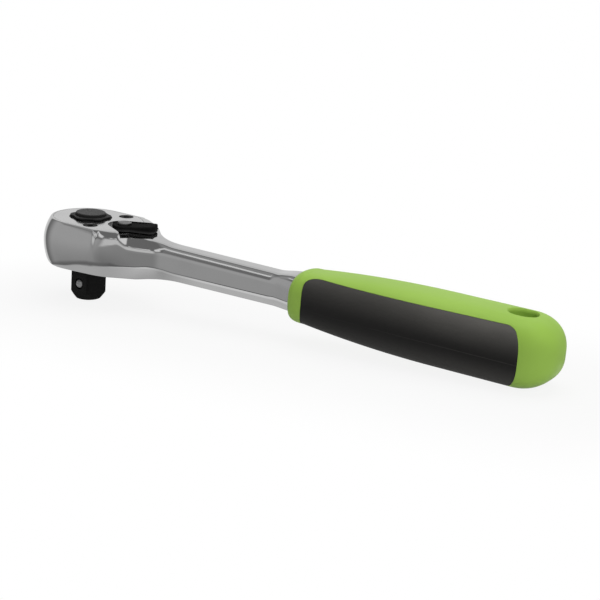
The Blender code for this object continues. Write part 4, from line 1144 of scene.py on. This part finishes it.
@dataclass
class Handle:
    """Moulded handle with two soft inlays and a hanging hole."""

    front: float = 124.3 * MM
    length: float = 126.6 * MM
    middle: float = 28.5 * MM
    front_width: float = 25.2 * MM
    rear_width: float = 31.6 * MM
    front_height: float = 24.2 * MM
    rear_height: float = 30.9 * MM
    flare_start: float = 7.0 * MM
    flare_length: float = 66.0 * MM
    squareness: float = 3.0
    nose_length: float = 5.0 * MM
    nose_inset: float = 1.5 * MM
    nose_drop: float = 1.7 * MM
    nose_rounding: float = 0.6
    nose_share: float = 0.03
    dome: float = 17.5 * MM
    dome_squareness: float = 2.2
    skin_grid: tuple[int, int] = (180, 161)
    hole_from_end: float = 19.0 * MM
    hole_length: float = 12.5 * MM
    hole_width: float = 10.0 * MM
    hole_flare: float = 2.56 * MM
    hole_flare_depth: float = 2.4 * MM
    hole_flare_above: float = 0.6 * MM
    hole_reach: float = 4.0 * MM
    inlay_front: float = 7.7 * MM
    inlay_rear: float = 13.1 * MM
    inlay_front_top: float = 11.4 * MM
    inlay_rear_top: float = 12.5 * MM
    inlay_under: float = 5.5 * MM
    inlay_front_corner: float = 8.5 * MM
    inlay_rear_corner: float = 3.2 * MM
    inlay_span: float = 33.0 * MM
    inlay_widest: float = 0.4
    inlay_front_sweep: float = 2.8 * MM
    inlay_rear_sweep: float = 9.0 * MM
    inlay_top_sweep: float = 4.5 * MM
    inlay_thickness: float = 2.0 * MM
    inlay_joint: float = 0.05 * MM
    inlay_edge: float = 0.25 * MM
    inlay_grid: tuple[int, int] = (72, 150)

    @property
    def end(self) -> float:
        """Rear end of the handle."""
        return self.front + self.length

    def skin(self, material: bpy.types.Material) -> Piece:
        """The handle's skin, a squared oval drawn along X by a node tree.

        Args:
            material: Finish that the tree sets.

        Returns:
            The closed skin, before its beds are cut.
        """
        grown = Grown("handle", dict.fromkeys(SKIN_SIZES, "Float"))
        graph, size = grown.graph, grown.inputs
        columns, rows = self.skin_grid
        sheet = {"Size X": 1.0, "Size Y": 1.0, "Vertices X": columns, "Vertices Y": rows}
        grid = graph.add("GeometryNodeMeshGrid", sheet)
        along, around, _ = graph.axes(graph.add("GeometryNodeInputPosition"))
        along = along + 0.5
        angle = (around + 0.5) * tau
        face = (along / size["nose_share"]).at_most(1.0)
        travel = ((along - size["nose_share"]) / (1 - size["nose_share"])).at_least(0.0)
        x = size["length"] * (0.5 - (travel * pi).cosine() * 0.5)
        flare = ((x - size["flare_start"]) / size["flare_length"]).at_least(0.0).at_most(1.0)
        flare = 1 - (1 - flare) * (1 - flare)
        nose = (1 - x / size["nose_length"]).at_least(0.0)
        upper = angle.sine().at_least(0.0)
        inset = size["nose_inset"] + size["nose_drop"] * upper
        pull = inset * (1 - (1 - nose * nose).at_least(0.0) ** 0.5)
        into = ((x - size["length"] + size["dome"]) / size["dome"]).at_least(0.0).at_most(1.0)
        bow = size["dome_squareness"]
        share = (1 - into**bow).at_least(0.0) ** (1 / bow) * face
        power = 2 / (size["squareness"] - size["nose_rounding"] * nose * upper)
        halves = []
        for measure, wave in (("width", angle.cosine()), ("height", angle.sine())):
            half = mixed(flare, size["front_" + measure], size["rear_" + measure]) * 0.5 - pull
            halves.append(wave.sign() * abs(wave) ** power * half * share)
        across, up = halves
        parts = {0: x + size["front"], 1: across, 2: up + size["middle"]}
        place = graph.add("ShaderNodeCombineXYZ", parts)
        shaped = graph.add("GeometryNodeSetPosition", {"Geometry": grid, "Position": place})
        weld = {"Geometry": shaped, "Distance": WELD / 2}
        joined = graph.add("GeometryNodeMergeByDistance", weld)
        values = {name: float(getattr(self, name)) for name in SKIN_SIZES}
        handle = grown.make(joined, finish=material, **values)
        shape = bmesh.new()
        shape.from_mesh(handle.data)
        bmesh.ops.recalc_face_normals(shape, faces=shape.faces)
        shape.to_mesh(handle.data)
        shape.free()
        return handle

    def half_sizes(self, x: float) -> Pair:
        """Half width and half height at x, behind the nose."""
        flare = 1 - (1 - clamp((x - self.front - self.flare_start) / self.flare_length)) ** 2
        width = self.front_width + (self.rear_width - self.front_width) * flare
        height = self.front_height + (self.rear_height - self.front_height) * flare
        return width / 2, height / 2

    def on_skin(self, x: float, angle: float, side: int, lift: float) -> Triple:
        """A point at an angle round the section of one side, lifted off the skin."""
        width, height = self.half_sizes(x)
        power = self.squareness
        across = cos(angle) ** (2 / power)
        up = copysign(abs(sin(angle)) ** (2 / power), angle)
        normal_y = across ** (power - 1) / width
        normal_z = copysign(abs(up) ** (power - 1), up) / height
        size = hypot(normal_y, normal_z)
        y = width * across + lift * normal_y / size
        return x, side * y, self.middle + height * up + lift * normal_z / size

    def inlay_angles(self, x: float, grow: float) -> Pair:
        """Angles round the section at which an inlay starts above and ends underneath."""
        width, height = self.half_sizes(x)
        start, end = self.front + self.inlay_front, self.end - self.inlay_rear
        share = (x - start) / (end - start)
        top = self.inlay_front_top + (self.inlay_rear_top - self.inlay_front_top) * share + grow
        power = self.squareness / 2
        return asin((top / height) ** power), -acos(((self.inlay_under - grow) / width) ** power)

    def inlay_ends(self, down: float, grow: float) -> Pair:
        """Front and rear of an inlay at a share of the way down its side."""
        corners = []
        for radius in (self.inlay_front_corner + grow, self.inlay_rear_corner + grow):
            over = max(0.0, 1 - down * self.inlay_span / radius)
            corners.append(radius * (1 - sqrt(1 - over**2)))
        below = max(0.0, down - self.inlay_widest) / (1 - self.inlay_widest)
        above = max(0.0, self.inlay_widest - down) / self.inlay_widest
        front = self.front + self.inlay_front - grow + corners[0] - self.inlay_front_sweep * below**2
        rear = self.end - self.inlay_rear + grow - corners[1]
        return front, rear - self.inlay_rear_sweep * below**2 - self.inlay_top_sweep * above**2

    def sheet(self, side: int, grow: float, lift: Callable[[float], float]) -> list[list[Triple]]:
        """Rows of points that follow the handle's side, lifted by the distance from the rim."""
        rows, columns = self.inlay_grid
        sheet = []
        for down in gathered(rows):
            start, end = self.inlay_ends(down, grow)
            line = []
            for x in [start + (end - start) * along for along in gathered(columns)]:
                top, under = self.inlay_angles(x, grow)
                rim = min(down * self.inlay_span, (1 - down) * self.inlay_span, x - start, end - x)
                line.append(self.on_skin(x, top + (under - top) * down, side, lift(rim)))
            sheet.append(line)
        return sheet

    def slab(self, name: str, side: int, grow: float, low: float, lift: Callable[[float], float]) -> Piece:
        """A slab that follows the handle's side and turns under it.

        Args:
            name: Name of the object.
            side: -1 for the near side, 1 for the far one.
            grow: How far its outline is drawn out.
            low: Lift of its back off the skin.
            lift: Lift of its face off the skin, by the distance from its rim.

        Returns:
            The closed slab.
        """
        shape = bmesh.new()
        rims = []
        for raised in (lambda _: low, lift):
            rows = [[shape.verts.new(point) for point in line] for line in self.sheet(side, grow, raised)]
            for row, following in zip(rows, rows[1:]):
                for first, second, third, fourth in zip(row, row[1:], following[1:], following):
                    shape.faces.new((first, second, third, fourth))
            front, rear = [row[0] for row in rows], [row[-1] for row in rows]
            rims.append(rows[0][:-1] + rear[:-1] + rows[-1][:0:-1] + front[:0:-1])
        band(shape, *rims)
        return from_bmesh(shape, name)

    def inlay(self, name: str, side: int) -> Piece:
        """Soft inlay with a rolled rim, flush with the skin."""

        def rolled(rim: float) -> float:
            short = max(0.0, self.inlay_edge - rim)
            return sqrt(max(0.0, self.inlay_edge**2 - short**2)) - self.inlay_edge

        return polish(self.slab(name, side, 0.0, -self.inlay_thickness, rolled))

    def hole(self) -> Piece:
        """Cutter for the hanging hole with its flared mouths."""
        stretch = self.hole_length - self.hole_width
        shift = self.end - self.hole_from_end - stretch / 2
        half = self.rear_height / 2
        levels = [(self.hole_flare, half + self.hole_reach)]
        for turn in [QUARTER * share for share in (0.0, *shares(8))]:
            fall = self.hole_flare_depth * (1 - cos(turn))
            levels.append((self.hole_flare * (1 - sin(turn)), half + self.hole_flare_above - fall))
        levels += [(grow, -z) for grow, z in reversed(levels)]
        rings = []
        for grow, z in levels:
            outline = stadium(self.hole_width / 2 + grow, stretch, 32)
            rings.append([(x + shift, y, self.middle + z) for x, y in outline])
        return loft("hang_hole", rings)

    def build(self, material: bpy.types.Material) -> Piece:
        """Skin with the hanging hole and the beds of the inlays."""
        handle = self.skin(material)
        deep, proud = -self.inlay_thickness - self.inlay_joint, self.inlay_thickness
        beds = [self.slab("bed", side, self.inlay_joint, deep, lambda _: proud) for side in (-1, 1)]
        carve(handle, *beds, self.hole())
        return polish(handle)


@dataclass
class Studio:
    """Camera, soft lights, white floor and the surroundings that the chrome mirrors.

    Each box has its limits about the upright, counted from the camera, its limits above the
    horizon and its level. Each lamp has a name, a place, a size and a power.
    """

    target: Triple = mm(130.0, 0.0, 29.0)
    distance: float = 650.0 * MM
    azimuth: float = radians(31.435)
    elevation: float = radians(16.184)
    roll: float = radians(4.376)
    shift: Pair = mm(-5.422, -2.188)
    focal_pixels: float = 1447.88
    image_pixels: float = 600.0
    sensor: float = 36.0
    clip_start: float = 10.0 * MM
    floor_slope: float = radians(3.1)
    floor_size: float = 6.0
    floor_gap: float = 0.2 * MM
    floor_grey: float = 0.68
    floor_white: float = 0.88
    floor_shadow: Pair = mm(20.0, 110.0)
    # Painted shadows that only mirrors see on the floor: their levels and where they lie.
    painted_shadow_under_head: float = 0.62
    floor_turn: Pair = mm(25.0, 60.0)
    painted_shadow_near: Pair = mm(9.0, 18.0)
    painted_shadow_near_share: float = 0.74
    painted_shadow_ring: Pair = mm(33.0, 40.0)
    floor_open: Pair = mm(42.0, 52.0)
    painted_shadow_ring_levels: Pair = (0.2, 0.05)
    tool_length: float = 251.0 * MM
    white: float = 0.95
    sweep: float = 0.78
    room: float = 0.53
    room_low: float = 0.36
    room_fall: Pair = degrees(-48, 8)
    front_share: float = 0.72
    front: Pair = degrees(25, 62)
    dark: float = 0.21
    dim: float = 0.4
    dim_left: Pair = degrees(-95, -70)
    fill: float = 0.25
    ceiling: Pair = degrees(27, 34)
    overhead: Pair = degrees(82, 88)
    backdrop: Pair = degrees(132, 140)
    backdrop_fade: Pair = degrees(98, 131)
    boxes: tuple[tuple[Pair, Pair, float], ...] = (
        (degrees(-40, 25), degrees(4, 41), 0.8),
        (degrees(-150, -60), degrees(49, 75), 0.36),
        (degrees(-100, -46), degrees(42, 49), 1.0),
        (degrees(-68, -32), degrees(36, 48), 1.0),
        (degrees(-22, 8), degrees(38, 48), 1.0),
        (degrees(22, 100), degrees(30, 80), 1.0),
    )
    lamps: tuple[tuple[str, Triple, Pair, float], ...] = (
        ("soft_top", (0.1, 0.1, 0.75), (0.7, 0.7), 3.8),
        ("soft_right", (0.72, -0.3, 0.42), (0.4, 0.4), 1.6),
    )

    def axes(self) -> tuple[Vector, Vector, Vector]:
        """The camera's right, up and backward directions."""
        a, e, r = self.azimuth, self.elevation, self.roll
        back = Vector((sin(a) * cos(e), -cos(a) * cos(e), sin(e)))
        right = Vector((cos(a), sin(a), 0.0))
        up = back.cross(right)
        return right * cos(r) + up * sin(r), up * cos(r) - right * sin(r), back

    def camera(self) -> None:
        """Set the camera where the photograph was taken from."""
        right, up, back = self.axes()
        data = bpy.data.cameras.new("camera")
        data.sensor_width = self.sensor
        data.lens = self.focal_pixels / self.image_pixels * self.sensor
        data.clip_start = self.clip_start
        camera = linked("camera", data)
        place = Vector(self.target) + back * self.distance + right * self.shift[0] + up * self.shift[1]
        turn = Matrix((right, up, back)).transposed().to_4x4()
        camera.matrix_world = Matrix.Translation(place) @ turn
        bpy.context.scene.camera = camera

    def lamp(self, name: str, place: Triple, size: Pair, power: float) -> None:
        """Add a soft box that faces the tool and stays out of its reflections."""
        data = bpy.data.lights.new(name, "AREA")
        data.shape = "RECTANGLE"
        data.size, data.size_y = size
        data.energy = power
        lamp = linked(name, data)
        lamp.location = place
        lamp.visible_glossy = False
        aim = Vector(self.target) - Vector(place)
        lamp.rotation_euler = aim.to_track_quat("-Z", "Y").to_euler()

    @staticmethod
    def rays(graph: Graph) -> tuple[Value, Value]:
        """Whether a ray comes straight from the camera or through glass, and whether from a mirror."""
        path = graph.outputs("ShaderNodeLightPath")
        return path["Is Camera Ray"].at_least(path["Is Transmission Ray"]), path["Is Glossy Ray"]

    def turned(self, graph: Graph, direction: Value) -> Value:
        """Angle of a direction about the upright, from 0 at the camera to half a turn behind the tool."""
        front = Vector((sin(self.azimuth), -cos(self.azimuth), 0.0))
        dot = {"operation": "DOT_PRODUCT"}
        return graph.math("ARCTAN2", *(
            graph.add("ShaderNodeVectorMath", {0: direction, 1: axis}, dot, output="Value")
            for axis in (front.cross((0.0, 0.0, -1.0)), front)
        ))

    def floor(self) -> None:
        """White floor that slopes so that the tool rests on its square and its butt; in mirrors it shows
        painted shadows under and beside the tool.
        """
        half = self.floor_size / 2
        slope = tan(self.floor_slope)
        shape = bmesh.new()
        corners = [(-half, -half), (half, -half), (half, half), (-half, half)]
        shape.faces.new([shape.verts.new((x, y, x * slope - self.floor_gap)) for x, y in corners])
        floor = from_bmesh(shape, "floor")
        material, graph = new_material("floor")
        seen, mirrored = self.rays(graph)
        x, y, _ = graph.axes(graph.place())
        past = (x * -1.0).at_least(x - self.tool_length).at_least(0.0)
        reach = (past * past + y * y) ** 0.5
        # Painted shadow for mirrored rays: darker under the head, close under the tool and in a ring beside
        # it.
        shank = x.step(*self.floor_turn)
        level = mixed(shank, self.painted_shadow_under_head, self.white)
        level = level * mixed(reach.step(*self.painted_shadow_near), self.painted_shadow_near_share, 1.0)
        level = mixed(reach.step(*self.painted_shadow_ring), level, mixed(shank, *self.painted_shadow_ring_levels))
        matte = graph.add("ShaderNodeBsdfDiffuse", {"Color": grey(self.floor_grey)})
        shown = mixed(mirrored, 1.0, level)
        plain = graph.add("ShaderNodeEmission", {"Color": shown, "Strength": 1.0})
        clean = mixed(reach.step(*self.floor_shadow), self.floor_white, 1.0)
        lit = mirrored.at_least(seen * clean)
        both = graph.add("ShaderNodeMixShader", {0: lit, 1: matte, 2: plain})
        clear = graph.add("ShaderNodeBsdfTransparent")
        beyond = mirrored * reach.step(*self.floor_open)
        surface = graph.add("ShaderNodeMixShader", {0: beyond, 1: both, 2: clear})
        graph.add("ShaderNodeOutputMaterial", {"Surface": surface})
        floor.data.materials.append(material)

    def surroundings(self) -> None:
        """Even light for matt pieces, and for the chrome a white sweep, a dim room and a few soft boxes."""
        world = bpy.data.worlds.new("studio")
        world.use_nodes = True
        bpy.context.scene.world = world
        graph = Graph(world.node_tree)
        direction = graph.add("ShaderNodeTexCoord", output="Generated")
        _, _, height = graph.axes(direction)
        rise = graph.math("ARCSINE", height)
        turn = self.turned(graph, direction)
        level = mixed(rise.step(*self.room_fall), self.room_low, self.room)
        level = level * mixed(abs(turn).step(*self.front), self.front_share, 1.0)
        upper = mixed(turn.step(*self.dim_left), self.dim, self.dark)
        level = mixed(rise.step(*self.ceiling), level, upper)
        for box_turn, box_rise, strength in self.boxes:
            level = mixed(window(turn, box_turn) * window(rise, box_rise), level, strength)
        level = mixed(abs(turn).step(*self.backdrop_fade), level, self.dark)
        level = mixed(abs(turn).step(*self.backdrop), level, self.sweep)
        level = mixed(rise.step(*self.overhead), level, self.sweep)
        seen, mirrored = self.rays(graph)
        colour = mixed(seen, mixed(mirrored, self.fill, level), 1.0)
        light = graph.add("ShaderNodeBackground", {"Color": colour, "Strength": 1.0})
        graph.add("ShaderNodeOutputWorld", {"Surface": light})

    def build(self) -> None:
        """Set up everything that is not part of the tool."""
        bpy.context.scene.view_settings.view_transform = "Standard"
        self.camera()
        self.floor()
        self.surroundings()
        for lamp in self.lamps:
            self.lamp(*lamp)


INNER_STEEL = ("release_pin", "thrust_washer", "pawl_pin", "lever_spindle", "pawl_plunger", "pawl_spring")


def main() -> None:
    """Build every sub-assembly around the frame."""
    logging.basicConfig(level=logging.INFO, format="%(name)s: %(message)s")
    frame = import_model()
    Studio().build()
    shop = Workshop(frame)
    forging, drive, lever, handle = Forging(), Drive(), Lever(), Handle()
    cover = Cover(forging)
    shop.fit(forging.build(), Body.BODY, Slot.CHROME, "body_forging")
    shop.fit(cover.build(), Body.BODY, Slot.SATIN, "cover_plate")
    screws = cover.screws(shop.finishes[Slot.BLACK])
    shop.fit(screws, Body.BODY, Slot.BLACK, "cover_screw_near", "cover_screw_far")
    shop.fit(drive.collar(), Body.DRIVE, Slot.BLACK, "hub_collar")
    shop.fit(drive.button(), Body.RELEASE, Slot.BUTTON, "release_button")
    shop.fit(drive.ball(), Body.BALL, Slot.STEEL, "detent_ball")
    drive.coil(shop)
    shop.fit(shop.refined("drive_gear", "drive", drive.gear_edge), Body.DRIVE, Slot.BLACK, "drive_gear")
    shop.fit(lever.build(), Body.LEVER, Slot.LEVER, "reverse_lever")
    shop.fit(lever.cap(), Body.LEVER, Slot.STEEL, "lever_screw")
    shop.fit(handle.build(shop.finishes[Slot.GREEN]), Body.BODY, Slot.GREEN, "handle_shell")
    for name, side in (("near", -1), ("far", 1)):
        shop.fit(handle.inlay("inlay_" + name, side), Body.BODY, Slot.SOFT, "grip_inlay_" + name)
    shop.dress(INNER_STEEL, Slot.STEEL)
    shop.dress(("pawl",), Slot.BLACK)


if __name__ == "__main__":
    main()
